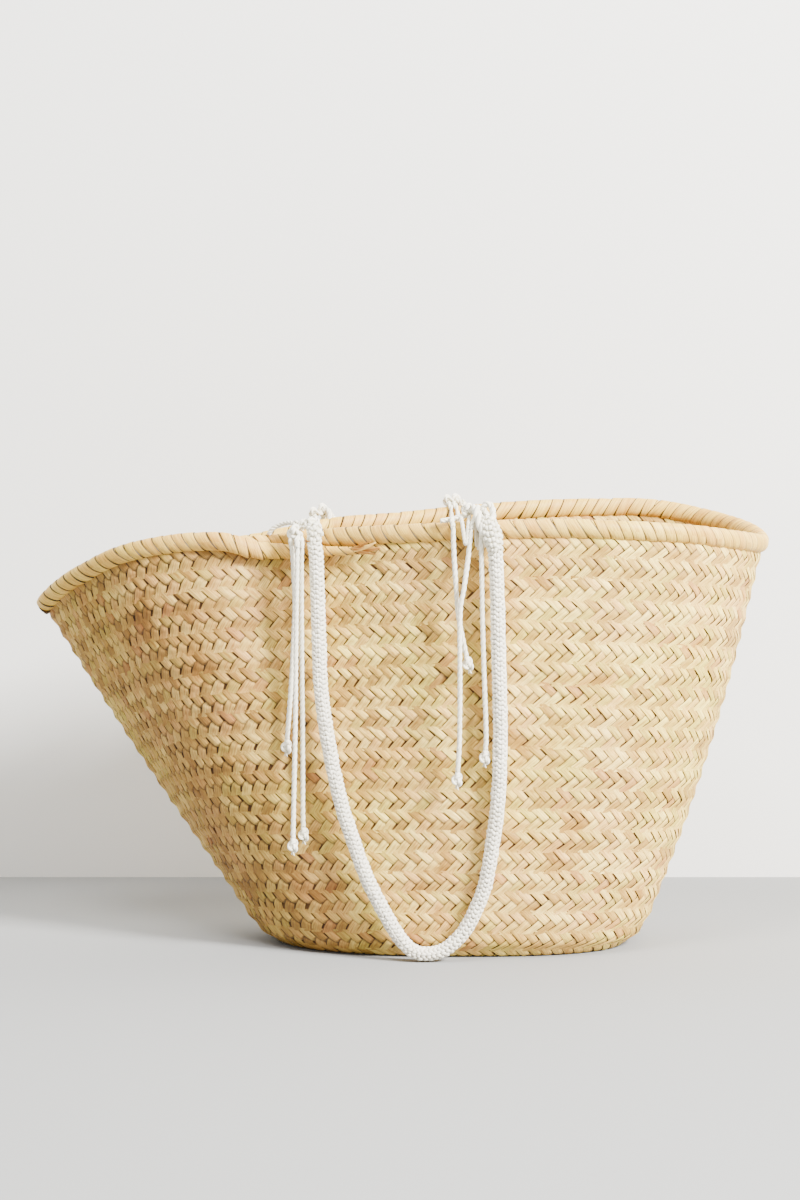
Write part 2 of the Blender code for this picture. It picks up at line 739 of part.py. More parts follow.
def main():
    """Build the bag."""
    clear_scene()
    straw = make_material("straw_braid", (0.72, 0.56, 0.34), 0.62)
    rim_straw = make_material("rim_straw", (0.78, 0.64, 0.38), 0.55)
    rope = make_material("cotton_rope", (0.88, 0.86, 0.80), 0.85)
    cord = make_material("cotton_cord", (0.86, 0.84, 0.77), 0.85)

    body = basket_body(straw)
    rim_roll(rim_straw)
    routes = {"front": FRONT_HANDLE_ROUTE, "back": BACK_HANDLE_ROUTE}
    for name, route in routes.items():
        cord_tube(f"{name}_handle", route, ROPE_DIAMETER, ROPE_DIAMETER * 2, rope)
    for row in LASHINGS:
        lashing(row, routes, body, cord)
    for row in TAILS:
        tail(row, cord)


main()
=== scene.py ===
"""Straw basket bag with white rope handles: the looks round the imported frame.

Run as a script. The braid, the wrapped rim, the knitted ropes and the twisted
cords are made of single strips, wraps, stitches and strands, set in place by
Geometry Nodes or swept along their routes.
"""

import math
from collections import namedtuple

import bmesh
import bpy
import numpy as np
from bpy.props import (
    FloatProperty,
    FloatVectorProperty,
    IntProperty,
    PointerProperty,
)
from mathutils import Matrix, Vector


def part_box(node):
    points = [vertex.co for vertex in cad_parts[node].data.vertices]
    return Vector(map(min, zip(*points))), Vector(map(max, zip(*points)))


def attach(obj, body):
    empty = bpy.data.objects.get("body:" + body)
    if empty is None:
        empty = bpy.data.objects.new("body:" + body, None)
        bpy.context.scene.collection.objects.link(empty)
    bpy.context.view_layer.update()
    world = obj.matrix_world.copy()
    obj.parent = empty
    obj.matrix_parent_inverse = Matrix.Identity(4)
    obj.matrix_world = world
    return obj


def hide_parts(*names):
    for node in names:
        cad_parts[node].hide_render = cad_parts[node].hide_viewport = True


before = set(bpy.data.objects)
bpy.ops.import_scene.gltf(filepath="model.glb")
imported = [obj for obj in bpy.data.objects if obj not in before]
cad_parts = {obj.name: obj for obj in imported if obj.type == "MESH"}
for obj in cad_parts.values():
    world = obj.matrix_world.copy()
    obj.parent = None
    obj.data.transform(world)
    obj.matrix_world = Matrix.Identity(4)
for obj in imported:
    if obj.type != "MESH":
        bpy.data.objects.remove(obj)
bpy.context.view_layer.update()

bl_info = {
    "name": "Straw basket bag",
    "version": (1, 0, 0),
    "blender": (4, 5, 0),
    "location": "3D View > Sidebar > Straw bag",
    "description": "Builds a straw basket bag with rope handles piece by piece",
    "category": "Object",
}

# Main sizes, read from the frame where it shows them
ROLL_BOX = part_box("rim_roll")
MOUTH_LENGTH = ROLL_BOX[1].x - ROLL_BOX[0].x
MOUTH_WIDTH = ROLL_BOX[1].y - ROLL_BOX[0].y
ROLL_HEIGHT = 0.015
ROLL_THICKNESS = 0.011
RIM_HEIGHT = ROLL_BOX[1].z - ROLL_HEIGHT / 2
WALL = 0.0026
ROLL_SEAT = 0.0005
ROLL_BITE = 0.0026
MILLIMETRE = 0.001

# Bottom, measured where the wall's line would meet the floor
BASE_LENGTH = 0.296
BASE_WIDTH = 0.178
BASE_SHIFT = 0.039
BASE_LEFT_POWER = 2.1
BASE_RIGHT_POWER = 2.6
CORNER_INSET = 0.019
CORNER_HEIGHT = 0.024
BELLY = 0.010

# Rows of braid, and how finely the wall's surface is kept
BOTTOM_ROWS = 4
WALL_ROWS = 21
ROW_HEIGHT = 0.016
ROW_STEPS = 8
SURFACE_COLUMNS = 480
FLOOR_CLEARANCE = 0.0028
LINE_SPACING = ROW_HEIGHT * 4
STRIP_BOW = (-0.0002, 0.0004)
STRIP_LIFT = (0.0004, 0.0007)
STRIP_COCK = 0.00024
STRIP_WEAR = 0.00009
STRIP_DIVE = 0.0012
STRIP_WOBBLE = math.radians(1.2)
RING_POINTS = 2001
BACKING_COLUMNS = 160
BACKING_HALF = 0.0004

# Where leaves differ: a turn round the bag, or a row, and how far from it that is felt
WIDE_AT = (0.63, 0.04)
NARROW_AT = (0.52, 0.05)
STEEP_AT = (0.60, 0.10)
# The three below draw the braid darker: painted shade with browner leaf on the left end, and painted shade
# low on the left.
SHADE_AND_BROWN_LEFT_AT = (0.58, 0.13)
SHADE_LOW_AT = (0.63, 0.10)
SHADE_LOW_ROWS_AT = (6, 5)

# Leaf round the roll
WRAP_SIDES = 22
WRAP_KINDS = 8
WRAP_GRAIN = 4.2
WRAP_INSET = 0.0004
WRAP_WOBBLE = math.radians(2.0)
RIM_CORE_SIDES = 12
RIM_CORE_INSET = 0.0008

# The photo's camera
CAMERA_PLACE = (-0.0021, -3.195, 0.585)
CAMERA_PITCH = math.radians(84.44)
CAMERA_LENS = 120.6
SENSOR_WIDTH = 36.0

# One row for each place round the mouth, from the right tip by way of the back.
# A row holds x as a share of half the mouth's length, y of half its width and height
# of the rim's height, all at the middle of the roll, and then the share of BELLY.
STATIONS = np.array((
    (1.0, 0.11, 0.938, 1.0), (0.965, 0.455, 0.959, 0.95), (0.847, 0.82, 0.982, 0.85),
    (0.707, 0.955, 1.0, 0.8), (0.55, 1.0, 1.0, 0.8), (0.38, 0.95, 0.997, 0.8), (0.19, 0.86, 0.988, 0.8),
    (0.0, 0.73, 0.974, 0.8), (-0.18, 0.61, 0.965, 0.8), (-0.3, 0.565, 0.947, 0.75),
    (-0.43, 0.58, 0.924, 0.7), (-0.575, 0.635, 0.903, 0.65), (-0.73, 0.68, 0.879, 0.6),
    (-0.87, 0.6, 0.842, 0.55), (-0.965, 0.41, 0.806, 0.5), (-1.0, 0.2, 0.79, 0.5),
    (-0.955, 0.0, 0.83, 0.5), (-0.89, -0.2, 0.87, 0.5), (-0.775, -0.455, 0.923, 0.55),
    (-0.645, -0.6, 0.952, 0.6), (-0.52, -0.66, 0.963, 0.6), (-0.415, -0.625, 0.961, 0.6),
    (-0.32, -0.58, 0.96, 0.65), (-0.22, -0.63, 0.968, 0.7), (-0.1, -0.76, 0.978, 0.75),
    (0.03, -0.885, 0.986, 0.8), (0.2, -0.97, 0.995, 0.8), (0.42, -1.0, 1.0, 0.8),
    (0.6, -0.945, 0.994, 0.85), (0.78, -0.745, 0.98, 0.9), (0.93, -0.36, 0.955, 0.95),
))

# The roll's two thin ends, as the frame has them: four places as shares of half the
# mouth's length, and then rows of a share of the way, shift outward, drop and size.
ROLL_START = -0.47
ROLL_FULL = -0.26
ROLL_LEAVES_EDGE = -0.575
ROLL_END = -0.10
STARTING_END = np.array((
    (0.0, -0.23, 0.0, 0.35), (0.25, -0.14, 0.0, 0.5), (0.6, -0.05, 0.0, 0.8), (1.0, 0.0, 0.0, 1.0),
))
CLOSING_END = np.array((
    (0.0, 0.0, 0.0, 1.0), (0.1, 0.4, 0.0, 1.0), (0.17, 0.73, 0.0, 1.0), (0.24, 0.79, 0.2, 1.0),
    (0.35, 0.83, 0.46, 0.95), (0.54, 0.78, 0.5, 0.84), (0.75, 0.74, 0.62, 0.64), (1.0, 0.6, 0.74, 0.35),
))

# Ropes and cords, at the frame's own sizes and along its own routes
ROPE_DIAMETER = 0.0118
CORD_DIAMETER = 0.004
TAIL_KNOT_HEIGHT = 0.012
TAIL_KNOT_WIDTH = 0.0064
TAIL_KNOT_LENGTH = 0.0086
TAIL_KNOT_CORD = 0.0038
ROPE_STEP = 0.003
CORD_STEP = 0.0012
STITCH_HEIGHT = 0.0027
STITCH_INSET = 0.0013
STITCH_UNEVEN = 0.00018
STITCH_WOBBLE = math.radians(11)
SLEEVE_CORE_INSET = 0.0021
STRANDS = 3
KNOT_POINTS = 90
FRONT_HANDLE_ROUTE = (
    (-0.069, -0.087, 0.328), (-0.0672, -0.0882, 0.319), (-0.0665, -0.0885, 0.3),
    (-0.065, -0.0892, 0.252), (-0.064, -0.09, 0.22), (-0.0612, -0.091, 0.193), (-0.0552, -0.093, 0.157),
    (-0.0473, -0.095, 0.122), (-0.0387, -0.097, 0.096), (-0.028, -0.099, 0.0663),
    (-0.0149, -0.1, 0.0402), (-0.0029, -0.1005, 0.02), (0.0075, -0.1005, 0.0092),
    (0.019, -0.1005, 0.0064), (0.0325, -0.1005, 0.0098), (0.0462, -0.1008, 0.0222),
    (0.0563, -0.1022, 0.0406), (0.064, -0.105, 0.0615), (0.0693, -0.1085, 0.0919),
    (0.0738, -0.1125, 0.1285), (0.0754, -0.1162, 0.1767), (0.0747, -0.1185, 0.2134),
    (0.0737, -0.12, 0.247), (0.073, -0.1212, 0.2748), (0.0722, -0.122, 0.3011),
    (0.071, -0.1224, 0.3235),
)
BACK_HANDLE_ROUTE = (
    (-0.06, 0.0814, 0.318), (-0.0598, 0.0822, 0.3), (-0.059, 0.0845, 0.25), (-0.0575, 0.0875, 0.2),
    (-0.053, 0.091, 0.15), (-0.044, 0.095, 0.1), (-0.032, 0.0985, 0.062), (-0.018, 0.1005, 0.03),
    (-0.006, 0.101, 0.013), (0.008, 0.101, 0.0064), (0.022, 0.101, 0.011), (0.033, 0.1015, 0.026),
    (0.043, 0.103, 0.056), (0.05, 0.106, 0.1), (0.053, 0.109, 0.15), (0.0535, 0.1115, 0.2),
    (0.053, 0.1115, 0.25), (0.052, 0.1098, 0.3), (0.0515, 0.109, 0.324),
)
Tail = namedtuple("Tail", "name tint route")
TAILS = (
    Tail("front_left_tail_1", 0.1, (
        (-0.0862, -0.0905, 0.325), (-0.085, -0.0903, 0.313), (-0.0838, -0.0895, 0.282),
        (-0.0847, -0.088, 0.254), (-0.0871, -0.0855, 0.212), (-0.0902, -0.0835, 0.173))),
    Tail("front_left_tail_2", 0.1, (
        (-0.0815, -0.096, 0.324), (-0.0818, -0.0958, 0.31), (-0.0828, -0.0945, 0.2507),
        (-0.0836, -0.0925, 0.1841), (-0.0852, -0.09, 0.114), (-0.0856, -0.0893, 0.096))),
    Tail("front_left_tail_3", 0.9, (
        (-0.0782, -0.09, 0.323), (-0.0785, -0.0898, 0.311), (-0.0785, -0.0885, 0.251),
        (-0.078, -0.087, 0.1841), (-0.078, -0.0855, 0.118), (-0.0777, -0.085, 0.104))),
    Tail("front_right_tail_1", 0.2, (
        (0.0386, -0.1195, 0.342), (0.0392, -0.12, 0.3233), (0.0407, -0.12, 0.2986),
        (0.0426, -0.1195, 0.2745), (0.0456, -0.119, 0.2583), (0.049, -0.1185, 0.242))),
    Tail("front_right_tail_2", 0.1, (
        (0.0524, -0.1195, 0.34), (0.05, -0.12, 0.3163), (0.047, -0.1245, 0.2954),
        (0.044, -0.125, 0.2745), (0.044, -0.1235, 0.2202), (0.0437, -0.12, 0.1765),
        (0.0424, -0.118, 0.152))),
    Tail("front_right_tail_3", 0.3, (
        (0.06, -0.1205, 0.338), (0.0606, -0.1205, 0.315), (0.0613, -0.12, 0.2746),
        (0.0626, -0.119, 0.2312), (0.0643, -0.1175, 0.183), (0.0638, -0.1165, 0.169))),
    Tail("back_left_tail", 0.2, (
        (-0.073, 0.083, 0.318), (-0.0735, 0.0838, 0.29), (-0.0745, 0.0855, 0.24),
        (-0.0755, 0.087, 0.16))),
    Tail("back_right_tail", 0.2, (
        (0.0375, 0.1095, 0.326), (0.037, 0.1105, 0.3), (0.0365, 0.112, 0.25),
        (0.036, 0.1125, 0.18))),
)


def linear(red, green, blue):
    """A screen colour, given as 0 to 255, in the scene's linear values."""
    shares = (value / 255 for value in (red, green, blue))
    return tuple(share / 12.92 if share <= 0.04045 else ((share + 0.055) / 1.055) ** 2.4
                 for share in shares)


def paint(red, green, blue):
    """The same colour as a node's socket takes it."""
    return (*linear(red, green, blue), 1.0)


def unit(vectors):
    """Vectors at length one."""
    return vectors / np.linalg.norm(vectors, axis=-1, keepdims=True)


def smooth_between(before, first, second, after, share):
    """A value between first and second, on a smooth curve through all four."""
    slope_in = (second - before) / 2
    slope_out = (after - first) / 2
    square = share * share
    cube = square * share
    return (first * (2 * cube - 3 * square + 1) + slope_in * (cube - 2 * square + share)
            + second * (3 * square - 2 * cube) + slope_out * (cube - square))


def nearness(values, middle, reach):
    """1 at the middle, falling softly away on both sides."""
    return np.exp(-((values - middle) / reach) ** 2)


def ease(low, high, value):
    """0 below low, 1 above high and a smooth step between."""
    share = np.clip((value - low) / (high - low), 0.0, 1.0)
    return share * share * (3 - 2 * share)


# The mouth, the roll on it and the wall below, at turns that run once round


def station_at(turn):
    """The mouth's x, y, height and belly shares at turns."""
    count = len(STATIONS)
    place = (np.asarray(turn, float) % 1.0) * count
    index = np.floor(place).astype(int)
    rows = [STATIONS[(index + step) % count] for step in (-1, 0, 1, 2)]
    return smooth_between(*rows, (place - index)[..., None])


def rim_centre(turn):
    """The middle of the roll where it sits on the wall."""
    station = station_at(turn)
    half_length = (MOUTH_LENGTH - ROLL_THICKNESS) / 2
    half_width = (MOUTH_WIDTH - ROLL_THICKNESS) / 2
    return station[..., :3] * np.array((half_length, half_width, RIM_HEIGHT))


def base_corner(turn):
    """Where the wall's line meets the bottom, at the middle of the thickness."""
    station = station_at(turn)
    angle = np.arctan2(station[..., 1], station[..., 0])
    across, along = np.sin(angle), np.cos(angle)
    power = np.where(along > 0, BASE_RIGHT_POWER, BASE_LEFT_POWER)
    reach = (np.abs(along) ** power + np.abs(across) ** power) ** (-1 / power)
    return np.stack((BASE_SHIFT + along * reach * BASE_LENGTH / 2,
                     across * reach * BASE_WIDTH / 2, np.full_like(reach, WALL / 2)), -1)


def rim_axes(turn):
    """Along the roll, out from the wall and up the wall's slope."""
    step = 0.25 / len(STATIONS)
    turn = np.asarray(turn, float)
    along = unit(rim_centre(turn + step) - rim_centre(turn - step))
    rise = unit(rim_centre(turn) - base_corner(turn))
    out = unit(np.cross(along, rise))
    return along, out, unit(np.cross(out, along))


def reached_along(points):
    """How far along a line each of its points is."""
    steps = np.linalg.norm(np.diff(points, axis=0), axis=1)
    return np.concatenate(([0.0], np.cumsum(steps)))


def even_line(points, count):
    """Points at equal steps along a line, both ends included."""
    reached = reached_along(points)
    wanted = np.linspace(0.0, reached[-1], count)
    return np.stack([np.interp(wanted, reached, points[:, axis]) for axis in range(3)], -1)


def wall_lines(turns):
    """At each turn, the wall's middle from the bottom's middle line to under the roll."""
    corner = base_corner(turns)
    top = rim_centre(turns) - rim_axes(turns)[2] * (ROLL_HEIGHT / 2 - ROLL_BITE)
    out = unit((corner - (BASE_SHIFT, 0.0, 0.0)) * (1.0, 1.0, 0.0))
    belly = BELLY * station_at(turns)[..., 3:]

    def wall_at(share):
        bulge = np.sin(math.pi * share ** 0.85)
        return corner * (1 - share) + top * share + out * belly * bulge

    bend_end = CORNER_HEIGHT / top[:, 2:]
    flat_edge = corner - out * CORNER_INSET
    wall = [flat_edge * (1 - s) ** 2 + corner * 2 * s * (1 - s) + wall_at(bend_end) * s * s
            for s in np.arange(8) / 8]
    wall += [wall_at(bend_end + (1 - bend_end) * s) for s in np.arange(33) / 32]
    wall = np.stack(wall, 1)
    reach = 1 - (BASE_WIDTH / 2 - CORNER_INSET) / (BASE_LENGTH / 2 - CORNER_INSET)
    middle = flat_edge.copy()
    middle[:, 0] = BASE_SHIFT + (flat_edge[:, 0] - BASE_SHIFT) * reach
    middle[:, 1] = 0.0
    bottom_steps = BOTTOM_ROWS * ROW_STEPS
    grid = []
    for line, start in zip(wall, middle):
        bottom = even_line(np.stack((start, line[0])), bottom_steps + 1)
        grid.append(np.concatenate((bottom, even_line(line, WALL_ROWS * ROW_STEPS + 1)[1:])))
    return np.stack(grid)


class BraidSurface:
    """The middle of the braid's thickness, by turns round the bag and rows up from the bottom's middle."""

    def __init__(self):
        turns = np.arange(SURFACE_COLUMNS) / SURFACE_COLUMNS
        self.places = wall_lines(turns)
        self.places[..., 2] = np.maximum(self.places[..., 2], FLOOR_CLEARANCE)
        around = np.roll(self.places, -1, 0) - np.roll(self.places, 1, 0)
        rise = np.gradient(self.places, axis=1)
        self.outward = unit(np.cross(around, rise) + 1e-12)
        self.outward[:, :4] = (0.0, 0.0, -1.0)

    def read(self, table, turns, rows):
        """A table's value between its grid points."""
        column = (turns % 1.0) * SURFACE_COLUMNS
        step = np.clip(rows * ROW_STEPS, 0, table.shape[1] - 1.001)
        left, low = np.floor(column).astype(int), np.floor(step).astype(int)
        across, up = (column - left)[..., None], (step - low)[..., None]
        right = (left + 1) % SURFACE_COLUMNS
        left = left % SURFACE_COLUMNS
        lower = table[left, low] * (1 - across) + table[right, low] * across
        upper = table[left, low + 1] * (1 - across) + table[right, low + 1] * across
        return lower * (1 - up) + upper * up

    def at(self, turns, rows):
        """Places on the surface."""
        return self.read(self.places, turns, rows)

    def facing(self, turns, rows):
        """Outward directions."""
        return unit(self.read(self.outward, turns, rows))


SURFACE = BraidSurface()


def turn_at(x_share, side):
    """The turn at the front, for side -1, or the back, for side 1, with this x share."""
    turns = np.arange(4000) / 4000
    station = station_at(turns)
    on_side = (station[:, 1] * side > 0) & ((turns > 0.45) | (side > 0))
    miss = np.where(on_side, np.abs(station[:, 0] - x_share), 9.0)
    return turns[np.argmin(miss)]


def read_ends(table, shares):
    """A roll end's out, drop and size at shares of its stretch, with its corners eased."""
    nearby = np.asarray(shares)[..., None] + np.linspace(-0.07, 0.07, 9)
    return [np.interp(nearby, table[:, 0], table[:, column]).mean(-1) for column in (1, 2, 3)]


ROLL_TURNS = (turn_at(ROLL_START, -1), turn_at(ROLL_FULL, -1),
              turn_at(ROLL_LEAVES_EDGE, -1) + 1, turn_at(ROLL_END, -1) + 1)


def roll_at(turns):
    """The roll's middle, its size and its axes, at turns past its starting end."""
    start, full, leaves, end = ROLL_TURNS
    opening = read_ends(STARTING_END, (turns - start) / (full - start))
    closing = read_ends(CLOSING_END, (turns - leaves) / (end - leaves))
    out_share, drop, size = (np.where(turns < full, first, last)
                             for first, last in zip(opening, closing))
    out, up = rim_axes(turns)[1:]
    shift = (out * (out_share * ROLL_THICKNESS)[..., None]
             - up * (drop * ROLL_HEIGHT)[..., None])
    return rim_centre(turns) + shift, size, out, up


# Lines that ropes and cords follow


def smooth_route(points, spacing):
    """Points at even steps on a smooth curve through a route's own points."""
    route = np.array(points, float)
    route = np.concatenate(([2 * route[0] - route[1]], route, [2 * route[-1] - route[-2]]))
    fine = []
    for index in range(1, len(route) - 2):
        for step in range(12):
            fine.append(smooth_between(*route[index - 1:index + 3], step / 12))
    fine.append(route[-2])
    length = line_length(np.array(fine))
    return even_line(np.array(fine), max(4, round(length / spacing) + 1))


def line_length(points):
    """Length of a line through its points."""
    return float(np.linalg.norm(np.diff(points, axis=0), axis=1).sum())


def line_frames(points, first_side):
    """Tangents, sides and other sides along a line, with no needless twist."""
    tangents = unit(np.gradient(points, axis=0))
    side = np.array(first_side, float)
    sides = []
    for tangent in tangents:
        side = side - tangent * side.dot(tangent)
        side = side / np.linalg.norm(side)
        sides.append(side)
    sides = np.array(sides)
    return tangents, sides, np.cross(tangents, sides)


def ring_offsets(first, second, sides):
    """For each place on a line, the steps from it to a ring round it."""
    angles = np.arange(sides) / sides * math.tau
    return (first[:, None] * np.cos(angles)[None, :, None]
            + second[:, None] * np.sin(angles)[None, :, None])


def swung_line(points, side, other, angle, distance):
    """A line that runs round another, at an angle for each place."""
    return points + (side * np.cos(angle)[:, None] + other * np.sin(angle)[:, None]) * distance


# Meshes from arrays

Patch = namedtuple("Patch", "places faces uvs tints")


def tube_patch(points, radii, sides, first_side=(0.0, 1.0, 0.2), tint=0.5, squash=1.0):
    """A round tube with closed ends. uvs run along in centimetres and once round."""
    side, other = line_frames(points, first_side)[1:]
    radii = np.broadcast_to(radii, (len(points),))
    offsets = ring_offsets(side, other * squash, sides)
    places = (points[:, None] + offsets * radii[:, None, None]).reshape(-1, 3)
    reached = reached_along(points) * 100
    faces, uvs = [], []
    for ring, (near, far) in enumerate(zip(reached, reached[1:])):
        low, high = ring * sides, (ring + 1) * sides
        for index in range(sides):
            after = (index + 1) % sides
            start, end = index / sides, (index + 1) / sides
            faces.append((low + index, low + after, high + after, high + index))
            uvs.append(((near, start), (near, end), (far, end), (far, start)))
    for ring in (0, len(points) - 1):
        cap = tuple(ring * sides + index for index in range(sides))
        faces.append(cap[::-1] if ring == 0 else cap)
        uvs.append(((reached[ring], 0.5),) * sides)
    return Patch(places, faces, uvs, np.full(len(places), tint))


def place_object(name, data):
    """A new object in the scene."""
    thing = bpy.data.objects.new(name, data)
    bpy.context.scene.collection.objects.link(thing)
    return thing


def grained_mesh(name, places, faces, uvs):
    """A smooth mesh whose uvs are called grain."""
    mesh = bpy.data.meshes.new(name)
    mesh.from_pydata(places, [], faces)
    corners = [corner for face in uvs for corner in face]
    layer = mesh.uv_layers.new(name="grain")
    layer.data.foreach_set("uv", np.array(corners, np.float32).ravel())
    mesh.shade_smooth()
    return mesh


def store_values(mesh, label, values):
    """Give each point of a mesh its own value."""
    layer = mesh.attributes.new(label, "FLOAT", "POINT")
    layer.data.foreach_set("value", values.astype(np.float32))


def make_mesh_object(name, patches, material):
    """One object from several patches, with its uvs and tints, at the origin."""
    faces, uvs, start = [], [], 0
    for patch in patches:
        faces += [tuple(start + index for index in face) for face in patch.faces]
        uvs += patch.uvs
        start += len(patch.places)
    places = np.concatenate([patch.places for patch in patches])
    mesh = grained_mesh(name, places.tolist(), faces, uvs)
    store_values(mesh, "tint", np.concatenate([patch.tints for patch in patches]))
    mesh.materials.append(material)
    return place_object(name, mesh)


# Nodes, for materials and for geometry alike


def add_node(tree, kind, inputs=None, **settings):
    """A node with its settings, whose inputs are values or other nodes' sockets."""
    node = tree.nodes.new(kind)
    for key, value in settings.items():
        setattr(node, key, value)
    for socket, value in (inputs or {}).items():
        if isinstance(value, bpy.types.NodeSocket):
            tree.links.new(value, node.inputs[socket])
        else:
            node.inputs[socket].default_value = value
    return node


def calculate(tree, operation, first, second=0.0, third=0.0):
    """A Math node's result."""
    return add_node(tree, "ShaderNodeMath", {0: first, 1: second, 2: third},
                    operation=operation).outputs[0]


def times(tree, first, second):
    """The product of two values."""
    return calculate(tree, "MULTIPLY", first, second)


def noise(tree, vector, scale, detail, roughness=0.5):
    """A noise texture's value."""
    return add_node(tree, "ShaderNodeTexNoise",
                    {"Vector": vector, "Scale": scale, "Detail": detail,
                     "Roughness": roughness}).outputs[0]


def combine(tree, x, y, z):
    """A vector from its three values."""
    return add_node(tree, "ShaderNodeCombineXYZ", {0: x, 1: y, 2: z}).outputs[0]


def blend_colours(tree, share, first, second, way="MIX"):
    """A colour between two others."""
    return add_node(tree, "ShaderNodeMix", {0: share, 6: first, 7: second}, data_type="RGBA",
                    blend_type=way, clamp_factor=True).outputs[2]


def spread(tree, value, low, high, start, end):
    """A value's range low to high brought to start to end, smoothly."""
    return add_node(tree, "ShaderNodeMapRange",
                    {"Value": value, "From Min": low, "From Max": high, "To Min": start,
                     "To Max": end}, interpolation_type="SMOOTHSTEP").outputs[0]


def new_group(name, inputs, outputs):
    """A shader group with its sockets, and its two end nodes."""
    group = bpy.data.node_groups.new(name, "ShaderNodeTree")
    for label, kind, value in inputs:
        socket = group.interface.new_socket(label, in_out="INPUT", socket_type=kind)
        if value is not None:
            socket.default_value = value
    for label, kind in outputs:
        group.interface.new_socket(label, in_out="OUTPUT", socket_type=kind)
    start = group.nodes.new("NodeGroupInput")
    end = group.nodes.new("NodeGroupOutput")
    return group, start, end


def leaf_fibre_group():
    """Fine lines along a leaf, and how dark its edges are painted as shade in the gaps between strips and
    where it dives under, from uvs along and across.
    """
    group, start, end = new_group(
        "leaf fibres",
        [("Grain", "NodeSocketVector", None), ("Tint", "NodeSocketFloat", 0.5),
         ("Fineness", "NodeSocketFloat", 9.0), ("Fold Fade", "NodeSocketFloat", 1.0),
         ("Edge Start", "NodeSocketFloat", 0.4)],
        [("Lines", "NodeSocketFloat"), ("Streaks", "NodeSocketFloat"),
         ("Edge", "NodeSocketFloat")])
    given = start.outputs
    along, across = add_node(group, "ShaderNodeSeparateXYZ", {0: given["Grain"]}).outputs[:2]
    own = times(group, given["Tint"], 91.7)
    fine = combine(group, times(group, along, 0.7), times(group, across, given["Fineness"]), own)
    broad = combine(group, times(group, along, 0.9), times(group, across, 1.6), own)
    middle = calculate(group, "ABSOLUTE", calculate(group, "SUBTRACT", across, 0.5))
    # Painted shade along the leaf's long edges, in the gaps between strips; it fades out near the fold.
    edge = spread(group, middle, given["Edge Start"], 0.49, 0.0, 1.0)
    from_fold = spread(group, along, -0.2, 0.2, 1.0, 0.0)
    kept = calculate(group, "SUBTRACT", 1.0, times(group, from_fold, given["Fold Fade"]))
    # Painted shade at the tip, where the strip dives under the other half.
    tip = times(group, spread(group, along, 1.1, 1.35, 0.0, 1.0), given["Fold Fade"])
    results = {"Lines": noise(group, fine, 1.0, 3.0, 0.6), "Streaks": noise(group, broad, 1.0, 2.0),
               "Edge": calculate(group, "MAXIMUM", times(group, edge, kept), tip)}
    for label, socket in results.items():
        group.links.new(socket, end.inputs[label])
    return group


def cotton_fibre_group():
    """Fine yarn lines that run slanted along a strand, and soft fuzz."""
    group, start, end = new_group(
        "cotton fibres",
        [("Grain", "NodeSocketVector", None), ("Tint", "NodeSocketFloat", 0.5),
         ("Fineness", "NodeSocketFloat", 12.0)],
        [("Lines", "NodeSocketFloat"), ("Fuzz", "NodeSocketFloat")])
    given = start.outputs
    along, across = add_node(group, "ShaderNodeSeparateXYZ", {0: given["Grain"]}).outputs[:2]
    slant = calculate(group, "MULTIPLY_ADD", along, 0.35, across)
    place = combine(group, along, times(group, slant, given["Fineness"]),
                    times(group, given["Tint"], 57.3))
    where = add_node(group, "ShaderNodeTexCoord").outputs["Object"]
    group.links.new(noise(group, place, 1.0, 2.0), end.inputs["Lines"])
    group.links.new(noise(group, where, 1600.0, 2.0), end.inputs["Fuzz"])
    return group


def principled(name):
    """A new material with its tree and its Principled shader."""
    material = bpy.data.materials.new(name)
    material.use_nodes = True
    return material, material.node_tree, material.node_tree.nodes["Principled BSDF"]


def fibre_node(tree, group, values):
    """What a fibre group gives for each strip's own uvs and tint, and the tint itself."""
    grain = add_node(tree, "ShaderNodeUVMap", uv_map="grain").outputs[0]
    tint = add_node(tree, "ShaderNodeAttribute", attribute_name="tint").outputs["Fac"]
    fibres = add_node(tree, "ShaderNodeGroup", {"Grain": grain, "Tint": tint, **values},
                      node_tree=group)
    return fibres.outputs, tint


def roughen(tree, shader, rough, strength, distance, height):
    """Give a shader its roughness and its bump."""
    bump = add_node(tree, "ShaderNodeBump",
                    {"Strength": strength, "Distance": distance, "Height": height})
    tree.links.new(rough, shader.inputs["Roughness"])
    tree.links.new(bump.outputs[0], shader.inputs["Normal"])


